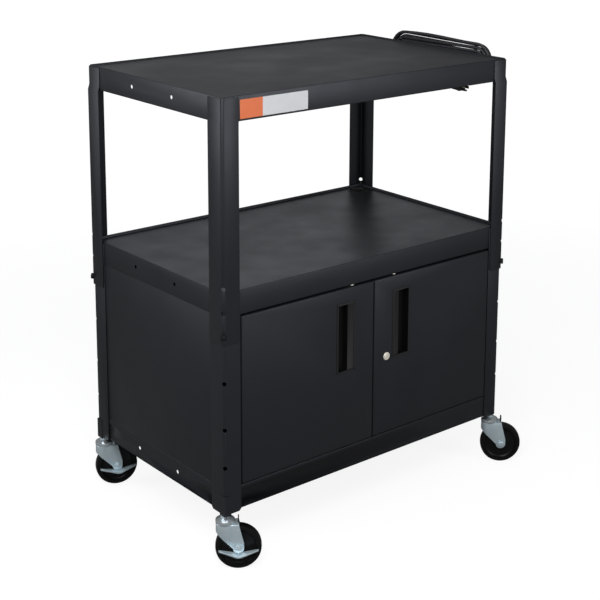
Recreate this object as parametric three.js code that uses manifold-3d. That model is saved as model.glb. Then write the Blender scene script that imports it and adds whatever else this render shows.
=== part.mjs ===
// An audio visual cart: three steel tray shelves on four corner legs, a cabinet with two locking
// doors between the lower shelves, an upper half that slides down in steps over the lower half,
// four swivel casters and a power cord wound on an outlet unit.
// Millimetres, +Z up, +X to the right along the front, +Y to the rear. The origin is on the floor
// under the middle of the shelves.
import * as THREE from 'three';
import { mergeVertices } from 'three/addons/utils/BufferGeometryUtils.js';
import Module from 'manifold-3d';

const wasm = await Module();
wasm.setup();

// General clearances
const overrun = 2; // how far a cutting solid runs past what it cuts
const seatGap = 0.3; // between two pieces that rest on each other or fit in each other
const jointOverlap = 0.5; // how far two joined parts of one piece run into each other

// Shelf pans
const panWidth = 813;
const panDepth = 508;
const panHeight = 52.4;
const panSheet = 1.2;
const panCornerRadius = 6;
const panReturn = 14;
const lipHeight = 6.35;
const lipThickness = 3;
const bottomPanTop = 179.5;
const middlePanTop = 607;
const topPanTop = 1009;
const unitHoleDiameter = 8.5;
const unitHoleHalfSpacing = 76.2;
const unitHoleDrop = 25.4;

// Legs: angle sections of folded sheet, the upper ones joggled out over the lower ones
const legSheet = 1.9;
const legCornerRadius = 7;
const legFlangeX = 42;
const legFlangeY = 48;
const legChamfer = 5;
const legTopDrop = 3;
const legSlideGap = 0.5;
const lowerLegBottom = 123;
const joggleBottom = 954;
const joggleHeight = 12;
const legHoleDiameter = 9;
const heightPitch = 50.8;
const boltDrop = 88.5; // from the lower leg's top
const legBelowBolt = 17.5; // the upper leg's end under its bolt
const footHoleDrop = 84.3; // under the lower leg's lowest bolt hole
const lowerHoleSteps = [0, 2, 4]; // down from the bolt, in pitches
const upperHoleSteps = [0, 1, 2]; // up from the bolt, in pitches

// Height bolts
const boltDiameter = 8;
const boltHeadDiameter = 14;
const boltHeadThickness = 5;
const boltShank = 2.4;

// Cabinet sheets and doors
const cabinetSheet = 1;
const sidePanelFrontInset = 22;
const sidePanelRearInset = 6;
const rearPanelInset = 20;
const doorBottomGap = 3;
const doorTopGap = 4;
const doorLegGap = 3;
const doorSplit = 3;
const doorProud = 3;
const doorThickness = 17;
const hingeInset = 15;
const hingeDepth = 8.5;
const hingePinDiameter = 4;
const hingePinReach = 10;
const hingeCollarDiameter = 9;
const hingeHeadDiameter = 7;
const hingeHeadThickness = 2.5;

// Door catches: bent strips under the middle shelf's front return
const catchOffset = 62;
const catchWidth = 14;
const catchSheet = 1.2;
const catchDrop = 16;
const catchDoorGap = 0.6;
const catchSetback = 3;

// Recessed door pulls
const pullNear = 56;
const pullWidth = 52;
const pullRise = 175.5; // over the door's bottom edge
const pullHeight = 160;
const pullRim = 4;
const pullRimProud = 1;
const pullEdge = 2;
const pullPocketRun = 18;
const pullPocketStep = 8;
const pullPocketDepth = 14;
const pullFloor = 1.5;
const pullEndWall = 6;

// Cam lock in the right door
const lockX = 38.8;
const lockRise = 183.1; // over the door's bottom edge
const lockBezelDiameter = 18.5;
const lockBezelProud = 2.5;
const lockBodyDiameter = 15;
const lockPlugDiameter = 11;
const lockPlugProud = 0.8;
const lockTailDiameter = 6;
const lockTailLength = 3.5;
const camSheet = 2;
const camWidth = 14;
const camReach = 46;
const keywayWidth = 1.6;
const keywayHeight = 7;
const keywayDepth = 6;

// Cable grommet in the middle shelf
const grommetInsetX = 40.5;
const grommetInsetY = 34;
const grommetRimDiameter = 52;
const grommetNeckDiameter = 46;
const grommetBoreDiameter = 41;
const grommetRimThickness = 2;
const grommetNeckLength = 9;

// Mat and label on the top shelf
const matThickness = 2.2;
const matGap = 0.6;
const labelInset = 44.1;
const labelWidth = 172.9;
const labelHeight = 39;
const labelDrop = 9;
const labelThickness = 0.3;

// Casters
const casterInsetX = 6.5;
const casterInsetY = 10;
const socketDiameter = 13;
const socketHeight = 42;
const socketWebThickness = 6;
const stemDiameter = 9.5;
const stemLength = 36;
const wheelRadius = 49;
const wheelWidth = 23;
const wheelTrail = 27.5;
const wheelEdge = 3;
const wheelRimWidth = 9;
const wheelHubDiameter = 26;
const wheelWebThickness = 12;
const axleDiameter = 8;
const axleHeadDiameter = 15;
const axleHeadThickness = 4;
const forkSheet = 2.5;
const forkInnerWidth = 27;
const forkTop = 103;
const forkLead = 20;
const forkTrail = 29;
const forkFrontDrop = 15;
const forkToeRadius = 11.5;
const forkTabWidth = 11;
const forkTabHeight = 14;
const crownHoleDiameter = 11;
const rivetHeadDiameter = 14;
const rivetHeadThickness = 3.4;
const cupDiameter = 41;
const cupBandHeight = 7;
const cupNeckDiameter = 18;
const cupShoulderHeight = 12.5;
const brakeHalfSpan = 42;
const brakeRise = 7.5;
const brakeSheet = 3;
const brakeWidth = 13;
const brakeDrop = 9.5;
const brakeHubDiameter = 20;
const brakeHubThickness = 2.5;

// Which way each wheel trails, in degrees from +X
const trailAngles = { front_left: -36, front_right: -41, rear_left: -20, rear_right: -30 };
const brakedCorners = ['front_left', 'rear_left'];

// Outlet unit on the right end of the top shelf
const unitCentreY = -20;
const unitLength = 222;
const unitHeight = 38;
const unitDepth = 34;
const unitSheet = 1.5;
const unitBelowLip = 29.3;
const outletSpacing = 62;
const outletLength = 34.5;
const outletHeight = 27.5;
const outletBodyDepth = 20;
const outletFlange = 2;
const outletFlangeThickness = 1;
const outletSlotWidth = 2.2;
const outletSlotHeight = 8;
const outletSlotHalfSpacing = 6.35;
const outletSlotRise = 3;
const outletGroundDiameter = 5;
const outletGroundDrop = 7;
const outletSlotDepth = 12;
const saddleLength = 84;
const saddleShift = 52; // towards the rear from the unit's middle
const saddleWidth = 22;
const saddleInset = 8;
const keeperLength = 80;
const keeperShift = 23; // towards the rear from the unit's middle
const keeperSheet = 2;
const keeperDrop = 38;
const keeperGap = 0.5;

// Power cord: a lead, piled turns in two layers, and a free tail with the plug
const cordDiameter = 8;
const cordSides = 6;
const tailSides = 8;
const turnCount = 6;
const turnPitch = 9;
const layerPitch = 9;
const innerTurnRadius = 24;
const turnHalfRun = 127;
const looseRise = 6;
const bottomSetBack = 20;
const leadOffset = 5; // from the shelf's side to the lead's middle
const leadBendRadius = 31;
const runSteps = 4;
const bendSteps = 8;
const leadBendSteps = 8;
const tailStartY = 60;
const tailDrop = 17;
const tailSteps = 8;
const reliefLength = 22;
const reliefDiameter = 14;
const reliefEndDiameter = 10.4;

// Plug
const plugRearY = -54;
const plugLength = 36;
const plugWidth = 24;
const plugHeight = 17;
const plugNeckDiameter = 12;
const plugNeckShare = 0.35;
const prongLength = 17;
const prongThickness = 1.5;
const prongHeight = 6.3;
const prongHalfSpacing = 6.35;
const groundProngDiameter = 4.8;
const groundProngDrop = 5;
const prongRise = 2;

// Sides of turned shapes
const roundSides = 20;
const smallSides = 12;
const wheelSides = 28;
const hexSides = 6;
const legCornerSteps = 3;
const panCornerSteps = 2;
const noseSteps = 8;
const toeSteps = 6;

// Derived places
const halfWidth = panWidth / 2;
const halfDepth = panDepth / 2;
const lowerOuterX = halfWidth + legSheet;
const lowerOuterY = halfDepth + legSheet;
const joggle = legSlideGap + legSheet;
const upperOuterX = lowerOuterX + joggle;
const upperOuterY = lowerOuterY + joggle;
const lowerLegTop = middlePanTop - legTopDrop;
const upperLegTop = topPanTop - legTopDrop;
const middlePanBottom = middlePanTop - panHeight;
const boltHeight = lowerLegTop - boltDrop;
const upperLegBottom = boltHeight - legBelowBolt;
const grommetX = halfWidth - grommetInsetX;
const grommetY = halfDepth - grommetInsetY;
const labelLeft = labelInset - halfWidth;
const labelBottom = topPanTop - labelDrop - labelHeight;
const pullBottom = bottomPanTop + doorBottomGap + pullRise;
const lockHeight = bottomPanTop + doorBottomGap + lockRise;
const cordRadius = cordDiameter / 2;
const corners = [
  { name: 'front_left', x: -1, y: -1 },
  { name: 'front_right', x: 1, y: -1 },
  { name: 'rear_left', x: -1, y: 1 },
  { name: 'rear_right', x: 1, y: 1 },
];

// Materials
const finish = (color, roughness, metalness) => new THREE.MeshStandardMaterial({
  color, roughness, metalness,
});
const blackPowderCoat = finish(0x2b2b2f, 0.45, 0.1);
const rubberMat = finish(0x39393b, 0.85, 0);
const blackPlastic = finish(0x1d1d20, 0.5, 0);
const zincPlate = finish(0xa9b9c2, 0.35, 0.8);
const blackOxide = finish(0x2b2c2f, 0.4, 0.7);
const chrome = finish(0xd8dade, 0.12, 1);
const blackRubber = finish(0x1a1a1c, 0.7, 0);
const cordJacket = finish(0x222226, 0.55, 0);
const labelFilm = finish(0xe8e6e0, 0.5, 0);

// Solids from three.js geometry
function solid(geometry) {
  geometry.deleteAttribute('normal');
  geometry.deleteAttribute('uv');
  const merged = mergeVertices(geometry);
  return new wasm.Manifold(new wasm.Mesh({
    numProp: 3,
    vertProperties: new Float32Array(merged.attributes.position.array),
    triVerts: new Uint32Array(merged.index.array),
  }));
}

function mesh(name, material, shape) {
  const result = shape.getMesh();
  const geometry = new THREE.BufferGeometry();
  geometry.setAttribute('position', new THREE.BufferAttribute(result.vertProperties, 3));
  geometry.setIndex(new THREE.BufferAttribute(result.triVerts, 1));
  geometry.computeVertexNormals();
  const piece = new THREE.Mesh(geometry, material);
  piece.name = name;
  return piece;
}

function block(x0, x1, y0, y1, z0, z1) {
  const geometry = new THREE.BoxGeometry(Math.abs(x1 - x0), Math.abs(y1 - y0), Math.abs(z1 - z0));
  geometry.translate((x0 + x1) / 2, (y0 + y1) / 2, (z0 + z1) / 2);
  return solid(geometry);
}

function rod(diameter, start, end, sides) {
  const along = end.clone().sub(start);
  const geometry = new THREE.CylinderGeometry(diameter / 2, diameter / 2, along.length(), sides);
  const turn = new THREE.Quaternion();
  turn.setFromUnitVectors(new THREE.Vector3(0, 1, 0), along.clone().normalize());
  geometry.applyQuaternion(turn);
  const middle = start.clone().add(end).multiplyScalar(1 / 2);
  geometry.translate(middle.x, middle.y, middle.z);
  return solid(geometry);
}

function post(diameter, x, y, z0, z1, sides) {
  return rod(diameter, new THREE.Vector3(x, y, z0), new THREE.Vector3(x, y, z1), sides);
}

// A turned shape: [radius, height] pairs round an upright axis at x, y
function turned(profile, sides, x, y) {
  const geometry = new THREE.LatheGeometry(profile.map(([r, z]) => new THREE.Vector2(r, z)), sides);
  geometry.rotateX(Math.PI / 2);
  geometry.translate(x, y, 0);
  return solid(geometry);
}

// An outline of points seen from above, pushed up from z0 to z1
function plateUp(outline, z0, z1) {
  const geometry = new THREE.ExtrudeGeometry(new THREE.Shape(outline), {
    depth: z1 - z0, bevelEnabled: false,
  });
  geometry.translate(0, 0, z0);
  return solid(geometry);
}

// An outline of [x, z] points, pushed from y0 to y1
function plateAcross(outline, y0, y1) {
  const points = outline.map(([x, z]) => new THREE.Vector2(x, z));
  const geometry = new THREE.ExtrudeGeometry(new THREE.Shape(points), {
    depth: y1 - y0, bevelEnabled: false,
  });
  geometry.rotateX(Math.PI / 2);
  geometry.translate(0, y1, 0);
  return solid(geometry);
}

// An outline of [y, z] points, pushed from x0 to x1
function plateSideways(outline, x0, x1) {
  const points = outline.map(([y, z]) => new THREE.Vector2(y, z));
  const geometry = new THREE.ExtrudeGeometry(new THREE.Shape(points), {
    depth: x1 - x0, bevelEnabled: false,
  });
  geometry.applyMatrix4(new THREE.Matrix4().makeBasis(
    new THREE.Vector3(0, 1, 0), new THREE.Vector3(0, 0, 1), new THREE.Vector3(1, 0, 0),
  ));
  geometry.translate(x0, 0, 0);
  return solid(geometry);
}

// An arc's points, from one angle to another
function arc(x, y, radius, from, to, steps) {
  return Array.from({ length: steps + 1 }, (_, i) => {
    const angle = from + ((to - from) * i) / steps;
    return new THREE.Vector2(x + radius * Math.cos(angle), y + radius * Math.sin(angle));
  });
}

function roundedOutline(halfX, halfY, radius) {
  return [[1, 1, 0], [-1, 1, 1], [-1, -1, 2], [1, -1, 3]].flatMap(([sx, sy, quarter]) => arc(
    sx * (halfX - radius), sy * (halfY - radius), radius,
    (quarter * Math.PI) / 2, ((quarter + 1) * Math.PI) / 2, panCornerSteps,
  ));
}

// A tube or skin through rings of points that all have as many points, closed by flat ends
function skin(rings) {
  const count = rings[0].length;
  const positions = rings.flat().flatMap((p) => [p.x, p.y, p.z]);
  const index = [];
  for (let ring = 0; ring < rings.length - 1; ring += 1) {
    for (let i = 0; i < count; i += 1) {
      const a = ring * count + i;
      const b = ring * count + ((i + 1) % count);
      index.push(a, b, b + count, a, b + count, a + count);
    }
  }
  const last = (rings.length - 1) * count;
  capTriangles(rings[0]).forEach(([a, b, c]) => index.push(c, b, a));
  capTriangles(rings[rings.length - 1]).forEach(([a, b, c]) => index.push(last + a, last + b, last + c));
  const geometry = new THREE.BufferGeometry();
  geometry.setAttribute('position', new THREE.Float32BufferAttribute(positions, 3));
  geometry.setIndex(index);
  return solid(geometry);
}

// A flat ring's triangles, in the ring's own plane and turning the way the ring turns
function capTriangles(ring) {
  const normal = new THREE.Vector3();
  ring.forEach((p, i) => {
    const q = ring[(i + 1) % ring.length];
    normal.add(p.clone().cross(q));
  });
  normal.normalize();
  const turn = new THREE.Quaternion().setFromUnitVectors(normal, new THREE.Vector3(0, 0, 1));
  const flat = ring.map((p) => {
    const q = p.clone().applyQuaternion(turn);
    return new THREE.Vector2(q.x, q.y);
  });
  return THREE.ShapeUtils.triangulateShape(flat, []);
}

// Shelf pans
function pan(top) {
  const bottom = top - panHeight;
  const shelf = top - lipHeight;
  const ceiling = shelf - panSheet;
  let shape = plateUp(roundedOutline(halfWidth, halfDepth, panCornerRadius), bottom, top);
  const wellRadius = panCornerRadius - lipThickness;
  const hollowRadius = panCornerRadius - panSheet;
  shape = shape.subtract(plateUp(
    roundedOutline(halfWidth - lipThickness, halfDepth - lipThickness, wellRadius),
    shelf, top + overrun,
  ));
  shape = shape.subtract(plateUp(
    roundedOutline(halfWidth - panSheet, halfDepth - panSheet, hollowRadius),
    bottom + panSheet, ceiling,
  ));
  shape = shape.subtract(block(
    panReturn - halfWidth, halfWidth - panReturn,
    panReturn - halfDepth, halfDepth - panReturn,
    bottom - overrun, ceiling,
  ));
  return shape.subtract(unitHoles(top - unitHoleDrop));
}

// Screw holes for an outlet unit, through the fascia at both ends
function unitHoles(z) {
  const holes = [-1, 1].flatMap((side) => [-1, 1].map((end) => rod(
    unitHoleDiameter,
    new THREE.Vector3(side * (halfWidth + overrun), end * unitHoleHalfSpacing, z),
    new THREE.Vector3(side * (halfWidth - panSheet - overrun), end * unitHoleHalfSpacing, z),
    smallSides,
  )));
  return wasm.Manifold.union(holes);
}

function bottomPan() {
  const notchTop = lowerLegBottom + socketHeight + seatGap;
  const notchX = casterInsetX + socketDiameter / 2 + seatGap;
  const notchY = casterInsetY + socketDiameter / 2 + seatGap;
  return corners.reduce((shape, corner) => shape.subtract(block(
    corner.x * (halfWidth - notchX), corner.x * (halfWidth + overrun),
    corner.y * (halfDepth - notchY), corner.y * (halfDepth + overrun),
    lowerLegBottom, notchTop,
  )), pan(bottomPanTop));
}

function middlePan() {
  const shelf = middlePanTop - lipHeight;
  const hole = post(
    grommetNeckDiameter + 2 * seatGap, grommetX, grommetY,
    shelf - panSheet - overrun, shelf + overrun, roundSides,
  );
  const pinHoles = wasm.Manifold.union([-1, 1].map((side) => post(
    hingePinDiameter + 2 * seatGap, side * hingeX(), hingeY(),
    middlePanBottom - overrun, middlePanBottom + panSheet + overrun, smallSides,
  )));
  return pan(middlePanTop).subtract(hole).subtract(pinHoles);
}

function grommet() {
  const seat = middlePanTop - lipHeight;
  const bore = grommetBoreDiameter / 2;
  const neck = grommetNeckDiameter / 2;
  const rim = grommetRimDiameter / 2;
  const top = seat + grommetRimThickness;
  const bottom = seat - grommetNeckLength;
  return turned([
    [bore, bottom], [neck, bottom], [neck, seat], [rim, seat],
    [rim - grommetRimThickness / 2, top], [bore, top], [bore, bottom],
  ], roundSides, grommetX, grommetY);
}

function topMat() {
  const shelf = topPanTop - lipHeight;
  const inset = lipThickness + matGap;
  return plateUp(
    roundedOutline(halfWidth - inset, halfDepth - inset, panCornerRadius - inset / 2),
    shelf, shelf + matThickness,
  );
}

function frontLabel() {
  return block(
    labelLeft, labelLeft + labelWidth, -halfDepth - labelThickness, -halfDepth,
    labelBottom, labelBottom + labelHeight,
  );
}

// Legs
function angleOutline(corner, outerX, outerY) {
  const x = outerX - legCornerRadius;
  const y = outerY - legCornerRadius;
  const inner = legCornerRadius - legSheet;
  const points = [
    new THREE.Vector2(outerX - legFlangeX, outerY),
    ...arc(x, y, legCornerRadius, Math.PI / 2, 0, legCornerSteps),
    new THREE.Vector2(outerX, outerY - legFlangeY),
    new THREE.Vector2(outerX - legSheet, outerY - legFlangeY),
    ...arc(x, y, inner, 0, Math.PI / 2, legCornerSteps),
    new THREE.Vector2(outerX - legFlangeX, outerY - legSheet),
  ];
  return points.map((p) => new THREE.Vector2(corner.x * p.x, corner.y * p.y));
}

// The flanges' lower corners are clipped
function footChamfers(corner, outerX, outerY, bottom) {
  const clipX = outerX - legFlangeX;
  const clipY = outerY - legFlangeY;
  const reach = legChamfer + overrun;
  const wedge = [[-overrun, -overrun], [reach, -overrun], [-overrun, reach]];
  const front = plateAcross(
    wedge.map(([x, z]) => [corner.x * (clipX + x), bottom + z]),
    ...ordered(corner.y * (outerY - legSheet - overrun), corner.y * (outerY + overrun)),
  );
  const side = plateSideways(
    wedge.map(([y, z]) => [corner.y * (clipY + y), bottom + z]),
    ...ordered(corner.x * (outerX - legSheet - overrun), corner.x * (outerX + overrun)),
  );
  return front.add(side);
}

function ordered(a, b) {
  return a < b ? [a, b] : [b, a];
}

// A hole through a leg's rounded corner, on the diagonal
function cornerHole(corner, outerX, outerY, z) {
  const centre = legCornerCentre(corner, outerX, outerY, z);
  const diagonal = legDiagonal(corner);
  return rod(
    legHoleDiameter, centre, centre.clone().addScaledVector(diagonal, legCornerRadius + overrun),
    smallSides,
  );
}

function legCornerCentre(corner, outerX, outerY, z) {
  return new THREE.Vector3(
    corner.x * (outerX - legCornerRadius), corner.y * (outerY - legCornerRadius), z,
  );
}

function legDiagonal(corner) {
  return new THREE.Vector3(corner.x, corner.y, 0).normalize();
}

function lowerLeg(corner) {
  let shape = plateUp(angleOutline(corner, lowerOuterX, lowerOuterY), lowerLegBottom, lowerLegTop);
  shape = shape.subtract(footChamfers(corner, lowerOuterX, lowerOuterY, lowerLegBottom));
  const pinned = lowerHoleSteps.map((step) => boltHeight - step * heightPitch);
  [...pinned, Math.min(...pinned) - footHoleDrop].forEach((z) => {
    shape = shape.subtract(cornerHole(corner, lowerOuterX, lowerOuterY, z));
  });
  return shape.add(casterSocket(corner));
}

// A tube welded into the leg's corner by two webs, bored for the caster's stem
function casterSocket(corner) {
  const x = corner.x * (halfWidth - casterInsetX);
  const y = corner.y * (halfDepth - casterInsetY);
  const top = lowerLegBottom + socketHeight;
  const web = socketWebThickness / 2;
  const tube = post(socketDiameter, x, y, lowerLegBottom, top, roundSides);
  const webX = block(
    x, corner.x * (halfWidth + jointOverlap), y - web, y + web, lowerLegBottom, top,
  );
  const webY = block(
    x - web, x + web, y, corner.y * (halfDepth + jointOverlap), lowerLegBottom, top,
  );
  const bore = post(
    stemDiameter + 2 * seatGap, x, y, lowerLegBottom - overrun, top + overrun, roundSides,
  );
  return tube.add(webX).add(webY).subtract(bore);
}

function upperLeg(corner) {
  const low = angleOutline(corner, upperOuterX, upperOuterY);
  const high = angleOutline(corner, lowerOuterX, lowerOuterY);
  const levels = [
    [low, upperLegBottom], [low, joggleBottom], [high, joggleBottom + joggleHeight],
    [high, upperLegTop],
  ];
  const rings = levels.map(([outline, z]) => outline.map((p) => new THREE.Vector3(p.x, p.y, z)));
  const mirrored = corner.x * corner.y > 0;
  let shape = skin(mirrored ? rings.map((ring) => ring.slice().reverse()) : rings);
  shape = shape.subtract(footChamfers(corner, upperOuterX, upperOuterY, upperLegBottom));
  upperHoleSteps.forEach((step) => {
    const z = boltHeight + step * heightPitch;
    shape = shape.subtract(cornerHole(corner, upperOuterX, upperOuterY, z));
  });
  return shape;
}

function heightBolt(corner) {
  const centre = legCornerCentre(corner, upperOuterX, upperOuterY, boltHeight);
  const diagonal = legDiagonal(corner);
  const at = (radius) => centre.clone().addScaledVector(diagonal, radius);
  const headSeat = legCornerRadius + seatGap;
  const head = rod(boltHeadDiameter, at(headSeat), at(headSeat + boltHeadThickness), hexSides);
  const shank = rod(
    boltDiameter, at(headSeat - boltShank), at(headSeat + jointOverlap), smallSides,
  );
  return head.add(shank);
}

// Cabinet sheets
function sidePanel(side) {
  const outer = side * halfWidth;
  return block(
    outer, outer - side * cabinetSheet,
    sidePanelFrontInset - halfDepth, halfDepth - sidePanelRearInset,
    bottomPanTop + seatGap, middlePanBottom - seatGap,
  );
}

function rearPanel() {
  const half = halfWidth - rearPanelInset;
  return block(
    -half, half, halfDepth - cabinetSheet, halfDepth,
    bottomPanTop + seatGap, middlePanBottom - seatGap,
  );
}

// Doors: trays open to the rear, hung on pins near their outer edges
function doorFront() {
  return -halfDepth - doorProud;
}

function doorBack() {
  return doorFront() + doorThickness;
}

function doorOuter() {
  return lowerOuterX - legFlangeX - doorLegGap;
}

function hingeX() {
  return doorOuter() - hingeInset;
}

function hingeY() {
  return doorFront() + hingeDepth;
}

function doorBottom() {
  return bottomPanTop + doorBottomGap;
}

function doorTop() {
  return middlePanBottom - doorTopGap;
}

function door(side) {
  const inner = side * (doorSplit / 2);
  const outer = side * doorOuter();
  const wall = side * cabinetSheet;
  let shape = block(inner, outer, doorFront(), doorBack(), doorBottom(), doorTop());
  shape = shape.subtract(block(
    inner + wall, outer - wall, doorFront() + cabinetSheet, doorBack() + overrun,
    doorBottom() + cabinetSheet, doorTop() - cabinetSheet,
  ));
  shape = shape.subtract(pullCutout(side));
  return shape.subtract(post(
    hingePinDiameter + 2 * seatGap, side * hingeX(), hingeY(),
    doorBottom() - overrun, doorTop() + overrun, smallSides,
  ));
}

function pullCutout(side) {
  const inset = pullEdge - seatGap;
  return block(
    side * (pullNear + inset), side * (pullNear + pullWidth - inset),
    doorFront() - overrun, doorFront() + cabinetSheet + overrun,
    pullBottom + inset, pullBottom + pullHeight - inset,
  );
}

function rightDoor() {
  const hole = rod(
    lockBodyDiameter + 2 * seatGap,
    new THREE.Vector3(lockX, doorFront() - overrun, lockHeight),
    new THREE.Vector3(lockX, doorFront() + cabinetSheet + overrun, lockHeight),
    roundSides,
  );
  return door(1).subtract(hole);
}

// A cup behind a rim: a slope on the side near the split leads down to a deep finger slot
function doorPull(side) {
  const far = pullNear + pullWidth;
  const front = doorFront();
  const rimFront = front - pullRimProud;
  const rim = block(
    side * pullNear, side * far, rimFront, front, pullBottom, pullBottom + pullHeight,
  );
  const body = block(
    side * (pullNear + pullEdge), side * (far - pullEdge), front - pullRimProud / 2,
    front + pullPocketDepth + pullFloor, pullBottom + pullEdge, pullBottom + pullHeight - pullEdge,
  );
  const mouth = rimFront - overrun;
  const slopeStart = pullNear + pullRim;
  const step = slopeStart + pullPocketRun;
  const pocket = [
    [slopeStart, mouth], [slopeStart, rimFront], [step, front + pullPocketStep],
    [step, front + pullPocketDepth], [far - pullRim, front + pullPocketDepth],
    [far - pullRim, mouth],
  ].map(([x, y]) => new THREE.Vector2(side * x, y));
  return rim.add(body).subtract(plateUp(
    pocket, pullBottom + pullEndWall, pullBottom + pullHeight - pullEndWall,
  ));
}

function hingePin(side, top) {
  const x = side * hingeX();
  const y = hingeY();
  if (top) {
    const seat = middlePanBottom + panSheet;
    const head = post(hingeHeadDiameter, x, y, seat, seat + hingeHeadThickness, smallSides);
    return head.add(post(
      hingePinDiameter, x, y, doorTop() - hingePinReach, seat + jointOverlap, smallSides,
    ));
  }
  const seat = bottomPanTop - lipHeight;
  const collar = post(
    hingeCollarDiameter, x, y, bottomPanTop + seatGap, doorBottom() - seatGap, smallSides,
  );
  return collar.add(post(
    hingePinDiameter, x, y, seat, doorBottom() + hingePinReach, smallSides,
  ));
}

function doorCatch(side) {
  const x0 = side * catchOffset - catchWidth / 2;
  const x1 = side * catchOffset + catchWidth / 2;
  const stop = doorBack() + catchDoorGap;
  const plate = block(
    x0, x1, -halfDepth + catchSetback, stop + catchSheet,
    middlePanBottom - catchSheet, middlePanBottom,
  );
  return plate.add(block(
    x0, x1, stop, stop + catchSheet, middlePanBottom - catchDrop, middlePanBottom,
  ));
}

// Cam lock
function alongLock(diameter, y0, y1, sides) {
  return rod(
    diameter, new THREE.Vector3(lockX, y0, lockHeight), new THREE.Vector3(lockX, y1, lockHeight),
    sides,
  );
}

function lockHousing() {
  const face = doorFront();
  const bezel = alongLock(lockBezelDiameter, face - lockBezelProud, face, roundSides);
  const body = alongLock(
    lockBodyDiameter, face - lockBezelProud / 2, doorBack() - seatGap, roundSides,
  );
  return bezel.add(body).subtract(alongLock(
    lockPlugDiameter + 2 * seatGap, face - lockBezelProud - overrun, doorBack() + overrun,
    roundSides,
  ));
}

function lockPlug() {
  const face = doorFront() - lockBezelProud - lockPlugProud;
  const plug = alongLock(lockPlugDiameter, face, doorBack(), roundSides);
  const tail = alongLock(
    lockTailDiameter, doorBack() - jointOverlap, doorBack() + lockTailLength, smallSides,
  );
  const keyway = block(
    lockX - keywayWidth / 2, lockX + keywayWidth / 2, face - overrun, face + keywayDepth,
    lockHeight - keywayHeight / 2, lockHeight + keywayHeight / 2,
  );
  return plug.add(tail).subtract(keyway);
}

function lockCam() {
  const front = doorBack() + seatGap;
  const half = camWidth / 2;
  const round = arc(lockX, lockHeight, half, 0, Math.PI, smallSides / 2);
  const outline = [
    ...round.map((p) => [p.x, p.y]),
    [lockX - half, lockHeight - camReach], [lockX + half, lockHeight - camReach],
  ];
  return plateAcross(outline, front, front + camSheet).subtract(alongLock(
    lockTailDiameter + 2 * seatGap, front - overrun, front + camSheet + overrun, smallSides,
  ));
}

// Casters, each built with its swivel axis on Z and the wheel trailing along +X
function casterStem() {
  const cupBottom = forkTop + seatGap;
  const cupTop = lowerLegBottom - seatGap;
  const rivetTop = forkTop - forkSheet - seatGap;
  const neck = crownHoleDiameter / 2 - seatGap;
  return turned([
    [0, rivetTop - rivetHeadThickness],
    [rivetHeadDiameter / 2, rivetTop - rivetHeadThickness / 2],
    [rivetHeadDiameter / 2, rivetTop],
    [neck, rivetTop],
    [neck, cupBottom],
    [cupDiameter / 2, cupBottom],
    [cupDiameter / 2, cupBottom + cupBandHeight],
    [cupNeckDiameter / 2, cupBottom + cupShoulderHeight],
    [cupNeckDiameter / 2, cupTop],
    [stemDiameter / 2, cupTop],
    [stemDiameter / 2, lowerLegBottom + stemLength],
    [0, lowerLegBottom + stemLength],
  ], roundSides, 0, 0);
}

function forkPlan(offset) {
  const half = forkInnerWidth / 2 + forkSheet - offset;
  const nose = forkInnerWidth / 2 + forkSheet - forkLead;
  const end = forkTrail + (offset > 0 ? overrun : 0);
  return [
    new THREE.Vector2(end, half),
    ...arc(nose, 0, half, Math.PI / 2, (3 * Math.PI) / 2, noseSteps),
    new THREE.Vector2(end, -half),
  ];
}

// The side outline: a crown, a wrapped nose and two cheeks that taper to the axle
function forkSideOutline() {
  const toe = arc(
    wheelTrail, wheelRadius, forkToeRadius, 0, -Math.PI, toeSteps,
  ).map((p) => [p.x, p.y]);
  return [
    [-forkLead - overrun, forkTop], [forkTrail, forkTop],
    [wheelTrail + forkToeRadius, wheelRadius + forkToeRadius], ...toe,
    [-forkLead - overrun, forkTop - forkFrontDrop],
  ];
}

function casterFork() {
  const toeBottom = wheelRadius - forkToeRadius - overrun;
  const outside = plateUp(forkPlan(0), toeBottom, forkTop);
  const tailBlock = block(
    forkTrail - jointOverlap, wheelTrail + forkToeRadius, -forkInnerWidth / 2 - forkSheet,
    forkInnerWidth / 2 + forkSheet, toeBottom, forkTop,
  );
  const inside = plateUp(forkPlan(forkSheet), toeBottom - overrun, forkTop - forkSheet);
  const tailGap = block(
    forkTrail, wheelTrail + forkToeRadius + overrun, -forkInnerWidth / 2, forkInnerWidth / 2,
    toeBottom - overrun, forkTop + overrun,
  );
  const silhouette = plateAcross(
    forkSideOutline(), -forkInnerWidth, forkInnerWidth,
  );
  let shape = outside.add(tailBlock).subtract(inside).subtract(tailGap).intersect(silhouette);
  shape = shape.add(block(
    forkTrail - forkSheet, forkTrail, -forkTabWidth / 2, forkTabWidth / 2,
    forkTop - forkSheet, forkTop + forkTabHeight,
  ));
  shape = shape.subtract(post(
    crownHoleDiameter, 0, 0, forkTop - forkSheet - overrun, forkTop + overrun, roundSides,
  ));
  const side = forkInnerWidth / 2 + forkSheet + overrun;
  return shape.subtract(acrossWheel(axleDiameter + 2 * seatGap, -side, side, smallSides));
}

function acrossWheel(diameter, y0, y1, sides) {
  return rod(
    diameter, new THREE.Vector3(wheelTrail, y0, wheelRadius),
    new THREE.Vector3(wheelTrail, y1, wheelRadius), sides,
  );
}

// The bolt's head is on the -Y side, outside the brake lever where there is one
function casterAxle(braked) {
  const cheek = forkInnerWidth / 2 + forkSheet + seatGap;
  const headSeat = -cheek - (braked ? brakeHubThickness + seatGap : 0);
  const shank = acrossWheel(axleDiameter, headSeat - jointOverlap, cheek + jointOverlap, smallSides);
  const head = acrossWheel(axleHeadDiameter, headSeat - axleHeadThickness, headSeat, hexSides);
  const nut = acrossWheel(axleHeadDiameter, cheek, cheek + axleHeadThickness, hexSides);
  return shank.add(head).add(nut);
}

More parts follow.
